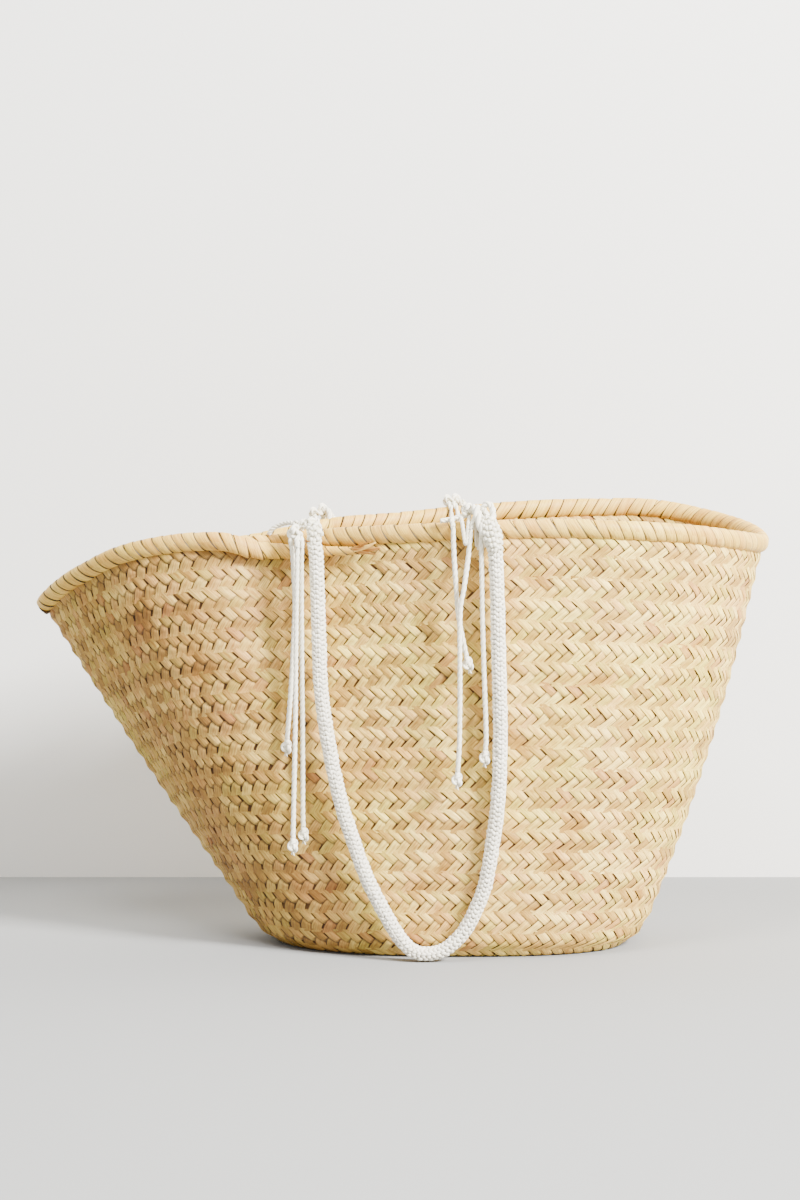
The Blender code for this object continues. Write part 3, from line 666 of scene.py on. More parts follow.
def leaf_material(name, group, look):
    """Dried palm leaf: each strip has its own colour, with fibres, streaks and stains, edges darkened as
    painted shade, and painted shade with browner leaf from each point's stored share.
    """
    material, tree, shader = principled(name)
    fibres, tint = fibre_node(tree, group, {"Fineness": look.fineness, "Fold Fade": look.fade,
                                            "Edge Start": look.edge_start})
    ramp = add_node(tree, "ShaderNodeValToRGB", {0: tint})
    ramp.color_ramp.interpolation = "CONSTANT"
    elements = ramp.color_ramp.elements
    while len(elements) < len(look.colours):
        elements.new(1.0)
    for element, (share, *colour) in zip(elements, look.colours):
        element.position = share
        element.color = paint(*colour)
    where = add_node(tree, "ShaderNodeTexCoord").outputs["Object"]
    zones = spread(tree, noise(tree, where, 11.0, 1.0), 0.35, 0.65, 0.0, 1.0)
    warmth = blend_colours(tree, zones, paint(255, 248, 180), paint(255, 241, 193))
    leaf = blend_colours(tree, 1.0, ramp.outputs[0], warmth, "MULTIPLY")
    stains = spread(tree, noise(tree, where, 26.0, 2.0), 0.5, 0.75, 0.0, 0.5)
    streaks = spread(tree, fibres["Streaks"], 0.45, 0.75, 0.0, 0.4)
    lines = spread(tree, fibres["Lines"], 0.35, 0.6, 0.6, 0.0)
    # The edge colour (50, 38, 26) below is painted shade along the leaves' edges and where they dive
    # under.
    edges = times(tree, fibres["Edge"], look.edge)
    # The colour (192, 178, 168) below, by each point's stored share, is painted shade with browner leaf on
    # the left end and painted shade low on the left.
    tone = add_node(tree, "ShaderNodeAttribute", attribute_name="tone").outputs["Fac"]
    for share, shade in ((stains, look.darkening), (streaks, look.darkening),
                         (lines, (184, 152, 104)), (edges, (50, 38, 26)),
                         (tone, (192, 178, 168))):
        leaf = blend_colours(tree, share, leaf, paint(*shade), "MULTIPLY")
    tree.links.new(leaf, shader.inputs["Base Color"])
    rough = calculate(tree, "MULTIPLY_ADD", fibres["Lines"], 0.2, look.roughness - 0.1)
    roughen(tree, shader, rough, 0.7, 0.0004, fibres["Lines"])
    shader.inputs["Specular IOR Level"].default_value = 0.35
    return material


def cotton_material(name, group, colour, shadow, fineness, relief):
    """White cotton yarn with fine fibres and a soft sheen."""
    material, tree, shader = principled(name)
    fibres, tint = fibre_node(tree, group, {"Fineness": fineness})
    yarn = blend_colours(tree, spread(tree, fibres["Lines"], 0.3, 0.7, 0.5, 0.0),
                         (*colour, 1.0), paint(*shadow))
    # A high tint mixes the yarn toward the shadow colour; on the sleeves' cores this is painted shade in
    # the pits.
    tinted = blend_colours(tree, times(tree, tint, 0.45), yarn, paint(*shadow))
    tree.links.new(tinted, shader.inputs["Base Color"])
    rough = calculate(tree, "MULTIPLY_ADD", fibres["Fuzz"], 0.15, 0.78)
    height = calculate(tree, "ADD", fibres["Lines"], times(tree, fibres["Fuzz"], 0.6))
    roughen(tree, shader, rough, relief, 0.0003, height)
    for label, value in (("Specular IOR Level", 0.2), ("Sheen Weight", 0.25),
                         ("Sheen Roughness", 0.5)):
        shader.inputs[label].default_value = value
    return material


# Setting small pieces on places


def set_pieces_tree():
    """Puts a piece on every place, turned as the place says, and makes it all one mesh."""
    tree = bpy.data.node_groups.new("set pieces on places", "GeometryNodeTree")
    for label, kind in (("Places", "NodeSocketGeometry"), ("Pieces", "NodeSocketCollection"),
                        ("Material", "NodeSocketMaterial"), ("Seed", "NodeSocketInt"),
                        ("Wobble", "NodeSocketFloat")):
        tree.interface.new_socket(label, in_out="INPUT", socket_type=kind)
    tree.interface.new_socket("Result", in_out="OUTPUT", socket_type="NodeSocketGeometry")
    start = tree.nodes.new("NodeGroupInput")
    end = tree.nodes.new("NodeGroupOutput")

    def named(label):
        return add_node(tree, "GeometryNodeInputNamedAttribute", {"Name": label},
                        data_type="FLOAT_VECTOR").outputs["Attribute"]

    def chance(kind, low, high, shift):
        seed = calculate(tree, "ADD", start.outputs["Seed"], shift)
        first, result = (2, 1) if kind == "FLOAT" else (4, 2)
        return add_node(tree, "FunctionNodeRandomValue",
                        {"Seed": seed, first: low, first + 1: high}, data_type=kind).outputs[result]

    facing = add_node(tree, "FunctionNodeAlignRotationToVector", {"Vector": named("outward")},
                      axis="Z")
    turned = add_node(tree, "FunctionNodeAlignRotationToVector",
                      {"Rotation": facing.outputs[0], "Vector": named("along")}, axis="X",
                      pivot_axis="Z")
    most = start.outputs["Wobble"]
    wobble = add_node(tree, "FunctionNodeAxisAngleToRotation",
                      {"Angle": chance("FLOAT", times(tree, most, -1.0), most, 3.0)})
    wobbled = add_node(tree, "FunctionNodeRotateRotation",
                       {"Rotation": turned.outputs[0], "Rotate By": wobble.outputs[0]},
                       rotation_space="LOCAL")
    pieces = add_node(tree, "GeometryNodeCollectionInfo",
                      {"Collection": start.outputs["Pieces"], "Separate Children": True,
                       "Reset Children": True})
    placed = add_node(tree, "GeometryNodeInstanceOnPoints",
                      {"Points": start.outputs["Places"], "Instance": pieces.outputs[0],
                       "Pick Instance": True, "Instance Index": chance("INT", 0, 9999, 0.0),
                       "Rotation": wobbled.outputs[0], "Scale": named("size")})
    tinted = add_node(tree, "GeometryNodeStoreNamedAttribute",
                      {"Geometry": placed.outputs[0], "Name": "tint"}, data_type="FLOAT",
                      domain="INSTANCE")
    tree.links.new(chance("FLOAT", 0.0, 1.0, 1.0), tinted.inputs["Value"])
    real = add_node(tree, "GeometryNodeRealizeInstances", {"Geometry": tinted.outputs[0]})
    painted = add_node(tree, "GeometryNodeSetMaterial",
                       {"Geometry": real.outputs[0], "Material": start.outputs["Material"]})
    tree.links.new(painted.outputs[0], end.inputs[0])
    return tree


Places = namedtuple("Places", "at along outward size")


def set_pieces(name, places, pieces, material, seed, wobble=0.0):
    """Set pieces on places with Geometry Nodes and return the result as one plain mesh object."""
    mesh = bpy.data.meshes.new(name + " places")
    mesh.from_pydata(places.at.tolist(), [], [])
    for label in ("along", "outward", "size"):
        layer = mesh.attributes.new(label, "FLOAT_VECTOR", "POINT")
        values = np.broadcast_to(getattr(places, label), places.at.shape).astype(np.float32)
        layer.data.foreach_set("vector", values.ravel())
    source = place_object(name + " places", mesh)
    shelf = bpy.data.collections.new(name + " pieces")
    for piece in pieces:
        shelf.objects.link(piece)
    tree = bpy.data.node_groups.get("set pieces on places") or set_pieces_tree()
    modifier = source.modifiers.new("pieces", "NODES")
    modifier.node_group = tree
    wanted = {"Pieces": shelf, "Material": material, "Seed": seed, "Wobble": wobble}
    for item in tree.interface.items_tree:
        if item.in_out == "INPUT" and item.name in wanted:
            modifier[item.identifier] = wanted[item.name]
    graph = bpy.context.evaluated_depsgraph_get()
    made = bpy.data.meshes.new_from_object(source.evaluated_get(graph), depsgraph=graph)
    source.modifiers.remove(modifier)
    bpy.data.objects.remove(source)
    for piece in pieces:
        bpy.data.objects.remove(piece)
    bpy.data.collections.remove(shelf)
    for label in ("along", "outward", "size"):
        layer = made.attributes.get(label)
        if layer:
            made.attributes.remove(layer)
    made.name = name
    return place_object(name, made)


def loose_piece(name, places, faces, uvs, sharp_below=None):
    """A small piece that is only there to be set on places."""
    mesh = grained_mesh(name, [tuple(place) for place in places], faces, uvs)
    if sharp_below is not None:
        flat = mesh.attributes.new("sharp_face", "BOOLEAN", "FACE")
        flat.data.foreach_set("value", [index >= sharp_below for index in range(len(faces))])
        rim = {tuple(sorted(key)) for index in range(sharp_below, len(faces))
               for key in mesh.polygons[index].edge_keys}
        sharp = mesh.attributes.new("sharp_edge", "BOOLEAN", "EDGE")
        sharp.data.foreach_set("value", [tuple(sorted(edge.vertices)) in rim
                                         for edge in mesh.edges])
    return bpy.data.objects.new(name, mesh)


# Braid

Look = namedtuple("Look", "across ridge")


def strip_piece(name, number, settings, upper, rng, look):
    """One leaf strip, from where it folds at a row's edge to where it dives under the other half."""
    half = ROW_HEIGHT / 2
    pitch = settings.strip_pitch
    tooth = settings.tooth_height * rng.uniform(0.8, 1.2)
    lean = half / math.tan(settings.strip_angle)
    shift = 0.0 if upper else pitch / 2
    fold = np.array(((shift - lean, half), (shift - lean + pitch, half)))
    dive = np.array(((shift + pitch / 2, -tooth / 2), (shift + pitch, tooth / 2)))
    bow = rng.uniform(*STRIP_BOW)
    lift = rng.uniform(*STRIP_LIFT)
    cocked = rng.normal(0.0, STRIP_COCK)
    wear = abs(rng.normal(0.0, STRIP_WEAR)) + (0.0004 if number == 0 else 0.0)
    along_shares = (-0.18, 0.08, 0.5, 0.88, 1.1)
    across_shares = look.across
    places, grain = [], []
    for u in along_shares:
        left, right = fold + (dive - fold) * u
        gap = -0.00025 + (0.00037 + wear) * float(ease(-0.2, 0.4, u))
        for v in across_shares:
            flat = left + (right - left) * v
            edge = (v - 0.5) * 2
            flat[0] += bow * math.sin(math.pi * min(max(u, 0.0), 1.0)) - gap * edge
            rise = lift * (1 - abs(edge) ** 4) + cocked * edge
            rise += look.ridge * math.cos(math.pi * min(abs(flat[1]) / half, 1.2))
            rise -= STRIP_DIVE * float(ease(0.84, 1.1, u))
            places.append((flat[0], flat[1] if upper else -flat[1], rise))
            grain.append((u * 1.3, v))
    rows, across = len(along_shares), len(across_shares)
    faces = [(row * across + column, (row + 1) * across + column,
              (row + 1) * across + column + 1, row * across + column + 1)
             for row in range(rows - 1) for column in range(across - 1)]
    border = list(range(across))
    border += [row * across + across - 1 for row in range(1, rows)]
    border += [(rows - 1) * across + column for column in range(across - 2, -1, -1)]
    border += [row * across for row in range(rows - 2, 0, -1)]
    faces.append(tuple(border))
    if not upper:
        faces = [tuple(reversed(face)) for face in faces]
    uvs = [tuple(grain[index] for index in face) for face in faces]
    return loose_piece(f"{name} {number}", places, faces, uvs, sharp_below=len(faces) - 1)


class Ring:
    """One closed row of braid: how its length round the bag answers to turns."""

    def __init__(self, row):
        self.row = row
        self.turns = np.linspace(0.0, 1.0, RING_POINTS)
        self.reached = reached_along(SURFACE.at(self.turns, np.full(RING_POINTS, row)))

    def strips(self, settings):
        """Lengths round the ring at which its strips stand, and how wide each is."""
        turns = self.turns
        wide = 1 + settings.wide_leaves * nearness(turns, *WIDE_AT)
        wide -= settings.narrow_leaves * nearness(turns, *NARROW_AT)
        wide += 0.06 * np.sin(turns * math.tau * 5 + self.row * 1.7)
        steps = np.diff(self.reached) / (settings.strip_pitch * (wide[1:] + wide[:-1]) / 2)
        counted = np.concatenate(([0.0], np.cumsum(steps)))
        whole = max(4, round(counted[-1]))
        counted *= whole / counted[-1]
        at = np.interp(np.arange(whole) + (self.row * 0.37) % 1.0, counted, self.reached)
        fitted = np.sum(steps) / whole
        return at, np.interp(at, self.reached, wide) * fitted


def braid_places(settings, rings):
    """Flat places for every strip, each ring on its own line."""
    rng = np.random.default_rng(settings.seed)
    at, size = [], []
    for number, ring in enumerate(rings):
        reached, width = ring.strips(settings)
        loose = rng.normal(0.0, settings.looseness, (2, len(reached)))
        at.append(np.stack((reached + loose[0], number * LINE_SPACING + loose[1] * 0.6,
                            np.zeros_like(reached)), -1))
        size.append(np.stack((width, np.ones_like(width), np.ones_like(width)), -1))
    at = np.concatenate(at)
    return Places(at, (1.0, 0.0, 0.0), (0.0, 0.0, 1.0), np.concatenate(size))


def bend_to_wall(thing, settings, rings, outside):
    """Take flat rings of braid to their places on the wall."""
    mesh = thing.data
    flat = np.empty(len(mesh.vertices) * 3, np.float32)
    mesh.vertices.foreach_get("co", flat)
    flat = flat.reshape(-1, 3).astype(float)
    number = np.clip(np.round(flat[:, 1] / LINE_SPACING).astype(int), 0, len(rings) - 1)
    bent = np.empty_like(flat)
    shades = np.zeros(len(flat))
    side = 1.0 if outside else -1.0
    for index, ring in enumerate(rings):
        chosen = number == index
        length = ring.reached[-1]
        reached = flat[chosen, 0] if outside else length - flat[chosen, 0]
        turns = np.interp(reached % length, ring.reached, ring.turns)
        height = flat[chosen, 1] - index * LINE_SPACING
        steep = settings.left_steepness * nearness(turns, *STEEP_AT)
        shift = np.abs(height) * steep * (1 if outside else -1)
        turns = np.interp((np.interp(turns, ring.turns, ring.reached) + shift) % length,
                          ring.reached, ring.turns)
        rows = ring.row + height / ROW_HEIGHT
        lift = (settings.skin + flat[chosen, 2])[:, None] * side
        bent[chosen] = SURFACE.at(turns, rows) + SURFACE.facing(turns, rows) * lift
        shades[chosen] = shade_and_browning(turns, rows)
    mesh.vertices.foreach_set("co", bent.astype(np.float32).ravel())
    # Each point keeps how much darker it is drawn: painted shade, with browner leaf on the left end.
    store_values(mesh, "tone", shades)
    mesh.update()


def shade_and_browning(turns, rows):
    """How much darker the braid is drawn: painted shade with browner leaf on the drooping left end, which
    faces away from the light, painted shade low on the left, and bands that vary up and round.
    """
    left = nearness(turns, *SHADE_AND_BROWN_LEFT_AT)
    low = nearness(turns, *SHADE_LOW_AT) * nearness(rows, *SHADE_LOW_ROWS_AT)
    band = 0.12 * np.sin(rows * 2.4 + turns * 9.0)
    return np.clip(0.12 + 0.72 * left + 0.5 * low + band, 0.0, 1.2)


def braid_object(name, settings, rows, outside, material, seed, look):
    """Rings of braid from one row to another as one mesh."""
    rng = np.random.default_rng(seed)
    rings = [Ring(row + 0.5) for row in range(*rows)]
    places = braid_places(settings, rings)
    halves = []
    for upper in (True, False):
        pieces = [strip_piece(f"{name} strip", number, settings, upper, rng, look)
                  for number in range(settings.strip_kinds)]
        halves.append(set_pieces(f"{name} {'upper' if upper else 'lower'}", places, pieces,
                                 material, seed + upper, STRIP_WOBBLE))
    braid = join(name, halves, material)
    bend_to_wall(braid, settings, rings, outside)
    return braid


def join(name, things, material):
    """Several mesh objects as one, with one material."""
    bm = bmesh.new()
    for thing in things:
        bm.from_mesh(thing.data)
    for face in bm.faces:
        face.material_index = 0
    mesh = bpy.data.meshes.new(name)
    bm.to_mesh(mesh)
    bm.free()
    mesh.materials.append(material)
    for thing in things:
        bpy.data.objects.remove(thing)
    return place_object(name, mesh)


def backing_object(name, material):
    """The inner leaves that show between the strips, painted dark as the shade in the gaps, as one thin
    closed shell.
    """
    columns = BACKING_COLUMNS
    places = SURFACE.places[::SURFACE_COLUMNS // columns, ::2]
    outward = SURFACE.outward[::SURFACE_COLUMNS // columns, ::2]
    steps = places.shape[1]
    phase = np.arange(steps) * 2 / ROW_STEPS
    shell = [places + outward * side * BACKING_HALF for side in (1.0, -1.0)]
    faces = []
    total = columns * steps
    for column in range(columns):
        after = (column + 1) % columns
        for step in range(1, steps - 1):
            quad = (column * steps + step, after * steps + step,
                    after * steps + step + 1, column * steps + step + 1)
            faces.append(quad)
            faces.append(tuple(total + index for index in reversed(quad)))
        top = steps - 1
        faces.append((column * steps + top, after * steps + top,
                      total + after * steps + top, total + column * steps + top))
    for offset, order in ((0, -1), (total, 1)):
        faces.append(tuple(offset + column * steps + 1 for column in range(columns))[::order])
    corners = np.concatenate([part.reshape(-1, 3) for part in shell])
    uvs = [tuple((phase[index % steps], 0.5) for index in face) for face in faces]
    patch = Patch(corners, faces, uvs, np.full(len(corners), 0.5))
    return make_mesh_object(name, [patch], material)


# Rim


def wrap_piece(name, rng, settings):
    """One turn of leaf round the roll, with one edge under the turn before it."""
    sides = WRAP_SIDES
    profile = ((-0.56, -0.50), (-0.43, -0.02), (0.0, 0.28), (0.36, 0.42), (0.48, 0.34),
               (0.53, -0.40))
    pitch = settings.wrap_pitch
    twist = rng.uniform(0.8, 1.2) * settings.wrap_slant
    places, grain, faces = [], [], []
    bulge = rng.uniform(0.8, 1.2)
    for index in range(sides):
        angle = math.tau * index / sides
        slope = -math.sin(angle) * twist
        for column, (place, lift) in enumerate(profile):
            radius = lift * bulge * MILLIMETRE * settings.wrap_relief
            out = math.cos(angle) * (ROLL_THICKNESS / 2 - WRAP_INSET + radius)
            up = math.sin(angle) * (ROLL_HEIGHT / 2 - WRAP_INSET + radius)
            places.append((place * pitch + slope, up, out))
            grain.append((index / sides * WRAP_GRAIN, place + 0.55))
    columns = len(profile)
    for index in range(sides):
        after = (index + 1) % sides
        for column in range(columns - 1):
            faces.append((index * columns + column, after * columns + column,
                          after * columns + column + 1, index * columns + column + 1)[::-1])
        faces.append((index * columns + columns - 1, after * columns + columns - 1,
                      after * columns, index * columns)[::-1])
    uvs = []
    for face in faces:
        corners = [grain[i] for i in face]
        if max(c[0] for c in corners) - min(c[0] for c in corners) > 2:
            corners = [(c[0] + WRAP_GRAIN, c[1]) if c[0] < 2 else c for c in corners]
        uvs.append(tuple(corners))
    return loose_piece(name, places, faces, uvs)


def rim_object(name, settings, material):
    """The wraps of leaf round the whole roll."""
    rng = np.random.default_rng(settings.seed)
    turns = np.linspace(ROLL_TURNS[0], ROLL_TURNS[3], 4000)
    centres, thickness, out = roll_at(turns)[:3]
    outer_line = centres + out * (thickness * ROLL_THICKNESS / 2)[:, None]
    counted = reached_along(outer_line) / settings.wrap_pitch
    widths = rng.uniform(0.78, 1.22, int(counted[-1] * 1.1) + 2)
    edges = np.cumsum(widths)
    middles = edges - widths / 2
    keep = middles < counted[-1] - 0.3
    middles, widths = middles[keep], widths[keep]
    here = np.interp(middles, counted, turns)
    at, sizes, out = roll_at(here)[:3]
    ahead = roll_at(here + 0.0005)[0]
    along = unit(ahead - at)
    size = np.stack((widths, sizes, sizes), -1)
    pieces = [wrap_piece(f"{name} wrap {number}", rng, settings) for number in range(WRAP_KINDS)]
    outward = unit(out - along * (out * along).sum(-1, keepdims=True))
    places = Places(at, along, outward, size)
    return set_pieces(name, places, pieces, material, settings.seed, WRAP_WOBBLE)


def rim_core(name, material):
    """What the leaf is wrapped round."""
    centres, sizes, out, up = roll_at(np.linspace(ROLL_TURNS[0], ROLL_TURNS[3], 400))
    sides = RIM_CORE_SIDES
    offsets = ring_offsets(out * (ROLL_THICKNESS / 2 - RIM_CORE_INSET),
                           up * (ROLL_HEIGHT / 2 - RIM_CORE_INSET), sides)
    places = (centres[:, None] + offsets * sizes[:, None, None]).reshape(-1, 3)
    last = len(places) - sides
    faces = []
    for low in range(0, last, sides):
        for index in range(sides):
            after = (index + 1) % sides
            faces.append((low + index, low + sides + index, low + sides + after, low + after))
    faces += [tuple(range(sides)), tuple(range(last, len(places)))[::-1]]
    uvs = [((0.5, 0.5),) * len(face) for face in faces]
    return make_mesh_object(name, [Patch(places, faces, uvs, np.full(len(places), 0.5))], material)


# Ropes and cords


def stitch_piece(name, length, width, height):
    """One leg of a knitted stitch, a small plump bean."""
    places, grain = [], []
    sides, rings = 6, (-0.36, 0.0, 0.36)
    places.append((-length / 2, 0.0, -height * 0.3))
    grain.append((0.0, 0.5))
    for ring in rings:
        swell = math.sqrt(max(0.0, 1 - (ring * 2) ** 2 * 0.9))
        for index in range(sides):
            angle = math.tau * index / sides
            places.append((ring * length, math.cos(angle) * width / 2 * swell,
                           math.sin(angle) * height / 2 * swell))
            grain.append((ring * 0.4 + 0.2, index / sides))
    places.append((length / 2, 0.0, -height * 0.3))
    grain.append((0.4, 0.5))
    faces = []
    last = len(places) - 1
    for index in range(sides):
        after = (index + 1) % sides
        faces.append((0, 1 + after, 1 + index))
        faces.append((last, last - sides + index, last - sides + after))
        for ring in range(len(rings) - 1):
            low = 1 + ring * sides
            faces.append((low + index, low + after, low + sides + after, low + sides + index))
    uvs = [tuple(grain[i] for i in face) for face in faces]
    return loose_piece(name, places, faces, uvs)


def rope_places(points, radii, settings):
    """Places of the knitted stitches along a rope's line."""
    reached = reached_along(points)
    tangents, side, other = line_frames(points, (0.2, 1.0, 0.0))
    rows = int(reached[-1] / settings.stitch_length)
    along_at = (np.arange(rows) + 0.5) * reached[-1] / rows
    columns = settings.stitches_round

    def read(table):
        return np.stack([np.interp(along_at, reached, table[:, axis]) for axis in range(3)], -1)

    centre, tangent, across, third = read(points), unit(read(tangents)), read(side), read(other)
    radius = np.interp(along_at, reached, np.broadcast_to(radii, (len(points),)))
    rng = np.random.default_rng(rows)
    at, along, outward, size = [], [], [], []
    for column in range(columns * 2):
        leg = 1.0 if column % 2 else -1.0
        angle = math.tau * (column + 0.5) / (columns * 2)
        radial = unit(across * math.cos(angle) + third * math.sin(angle))
        around = np.cross(tangent, radial)
        nudge = settings.stitch_length * (0.25 if column % 4 < 2 else -0.25)
        uneven = rng.normal(0.0, STITCH_UNEVEN, rows)
        at.append(centre + radial * (radius - STITCH_INSET + uneven)[:, None] + tangent * nudge)
        lean = settings.stitch_lean
        along.append(tangent * math.cos(lean) + around * math.sin(lean) * leg)
        outward.append(radial)
        scale = radius / (ROPE_DIAMETER / 2)
        size.append(np.stack((np.ones_like(scale), scale, scale), -1))
    return Places(np.concatenate(at), np.concatenate(along), np.concatenate(outward),
                  np.concatenate(size))


def knitted_rope(name, points, radii, settings, material, seed):
    """A knitted sleeve over a soft core, along a line."""
    width = math.pi * ROPE_DIAMETER / (settings.stitches_round * 2) * 1.15
    pieces = [stitch_piece(f"{name} stitch {number}", settings.stitch_length * stretch,
                           width, STITCH_HEIGHT) for number, stretch in enumerate((1.18, 1.32, 1.06))]
    stitches = set_pieces(name + " stitches", rope_places(points, radii, settings), pieces,
                          material, seed, STITCH_WOBBLE)
    # The core's high tint paints it toward the cotton's shadow colour: painted shade in the pits between
    # the stitches.
    core = make_mesh_object(name + " core", [tube_patch(
        points, np.broadcast_to(radii, (len(points),)) - SLEEVE_CORE_INSET, 14, tint=1.2)], material)
    return join(name, [stitches, core], material)


def twisted_patches(points, diameter, pitch, tint):
    """Strands laid round each other along a line."""
    side, other = line_frames(points, (0.3, 1.0, 0.1))[1:]
    angle = reached_along(points) / pitch * math.tau
    strand_radius = diameter * 0.27
    patches = []
    for number in range(STRANDS):
        line = swung_line(points, side, other, angle + number * math.tau / STRANDS,
                          diameter / 2 - strand_radius)
        patches.append(tube_patch(line, strand_radius, 6, tint=tint + 0.1 * number))
    return patches


def overhand_points(centre, down, width, height):
    """The closed line of a small tight knot, its long way along down."""
    turn = Vector((0.0, 0.0, -1.0)).rotation_difference(Vector(down)).to_matrix()
    t = np.arange(KNOT_POINTS) / KNOT_POINTS * math.tau
    x = np.sin(t) + 2 * np.sin(2 * t)
    y = np.cos(t) - 2 * np.cos(2 * t)
    z = -np.sin(3 * t)
    shape = np.stack((x / 3, y / 3, z), -1) * np.array((height / 2, width / 2, width / 3.2))
    upright = np.stack((shape[:, 1], shape[:, 2], shape[:, 0]), -1)
    return np.array(centre) + upright @ np.array(turn).T


def tail_objects(row, settings, material):
    """A spare cord, the knot on its end and the line they follow."""
    points = smooth_route(row.route, CORD_STEP)
    tint = row.tint
    cord = make_mesh_object(row.name, twisted_patches(points, CORD_DIAMETER,
                                                      settings.cord_lay, tint), material)
    end = points[-1]
    down = unit(points[-1] - points[-3])
    centre = end + down * (TAIL_KNOT_HEIGHT / 2 + 0.0003)
    line = overhand_points(centre, down, TAIL_KNOT_WIDTH, TAIL_KNOT_LENGTH)
    patches = twisted_ring_patches(line, TAIL_KNOT_CORD, tint)
    patches.append(tube_patch(even_line(np.stack((end + down * 0.0001, centre)), 4), 0.0019, 8,
                              tint=tint))
    for number, lean in enumerate((-0.35, 0.1, 0.45)):
        side = np.cross(down, (0.3 + number, 1.0, 0.2))
        fray = np.array((centre, centre + down * 0.004, centre + down * 0.0072 + side * lean * 0.003))
        patches.append(tube_patch(even_line(fray, 6), np.linspace(0.0008, 0.0004, 6), 5, tint=tint))
    knot = make_mesh_object(row.name + "_knot", patches, material)
    return cord, knot, points


def reach_of(strands, angle):
    """The outermost point of some ellipses towards an angle."""
    toward = (math.cos(angle), math.sin(angle))
    best = None
    for out, up, half_out, half_up in strands:
        scale = math.hypot(half_out * toward[0], half_up * toward[1])
        reach = out * toward[0] + up * toward[1] + scale
        if best is None or reach > best[0]:
            best = (reach, out + half_out ** 2 * toward[0] / scale,
                    up + half_up ** 2 * toward[1] / scale)
    return best[1], best[2]


def strands_at(turn):
    """The ellipses that a loop of cord pulled tight goes round, from the roll's middle."""
    centre = rim_centre(turn)
    out, up = rim_axes(turn)[1:]
    strands = []
    for here in (turn, turn + 1):
        if ROLL_TURNS[0] <= here <= ROLL_TURNS[3]:
            middle, size = roll_at(np.array(here))[:2]
            offset = middle - centre
            strands.append((offset.dot(out), offset.dot(up),
                            size * ROLL_THICKNESS / 2, size * ROLL_HEIGHT / 2))
    strands.append((0.0, -ROLL_HEIGHT / 2 - ROLL_SEAT - WALL / 2, WALL, WALL))
    return strands


def on_roll(turn, degrees, clearance):
    """A place just off the roll, where the angle runs from outward to up."""
    out, up = rim_axes(turn)[1:]
    angle = math.radians(degrees)
    point = reach_of(strands_at(turn), angle)
    return (rim_centre(turn) + out * (point[0] + math.cos(angle) * clearance)
            + up * (point[1] + math.sin(angle) * clearance))


def loop_points(turn, clearance, slant=0.0):
    """A tight loop round the roll and through the wall, leaning along the roll by slant."""
    along = rim_axes(turn)[0]
    return np.array([on_roll(turn, degrees, clearance)
                     + along * slant * math.sin(math.radians(degrees))
                     for degrees in range(0, 360, 12)])


def twisted_ring_patches(points, diameter, tint):
    """A closed loop of cord, as two strands laid round each other."""
    middle = points.mean(0)
    around = unit(np.roll(points, -1, 0) - np.roll(points, 1, 0))
    side = unit(points - middle - ((points - middle) * around).sum(-1, keepdims=True) * around)
    other = np.cross(around, side)
    turns = max(2, round(line_length(points) / 0.009))
    angle = np.arange(len(points)) / len(points) * math.tau * turns / 2
    patches = []
    for number in range(2):
        line = swung_line(points, side, other, angle + number * math.pi, diameter * 0.23)
        line = np.concatenate((line, line[:1]))
        patches.append(tube_patch(even_line(line, 84), diameter * 0.28, 6, tint=tint))
    return patches


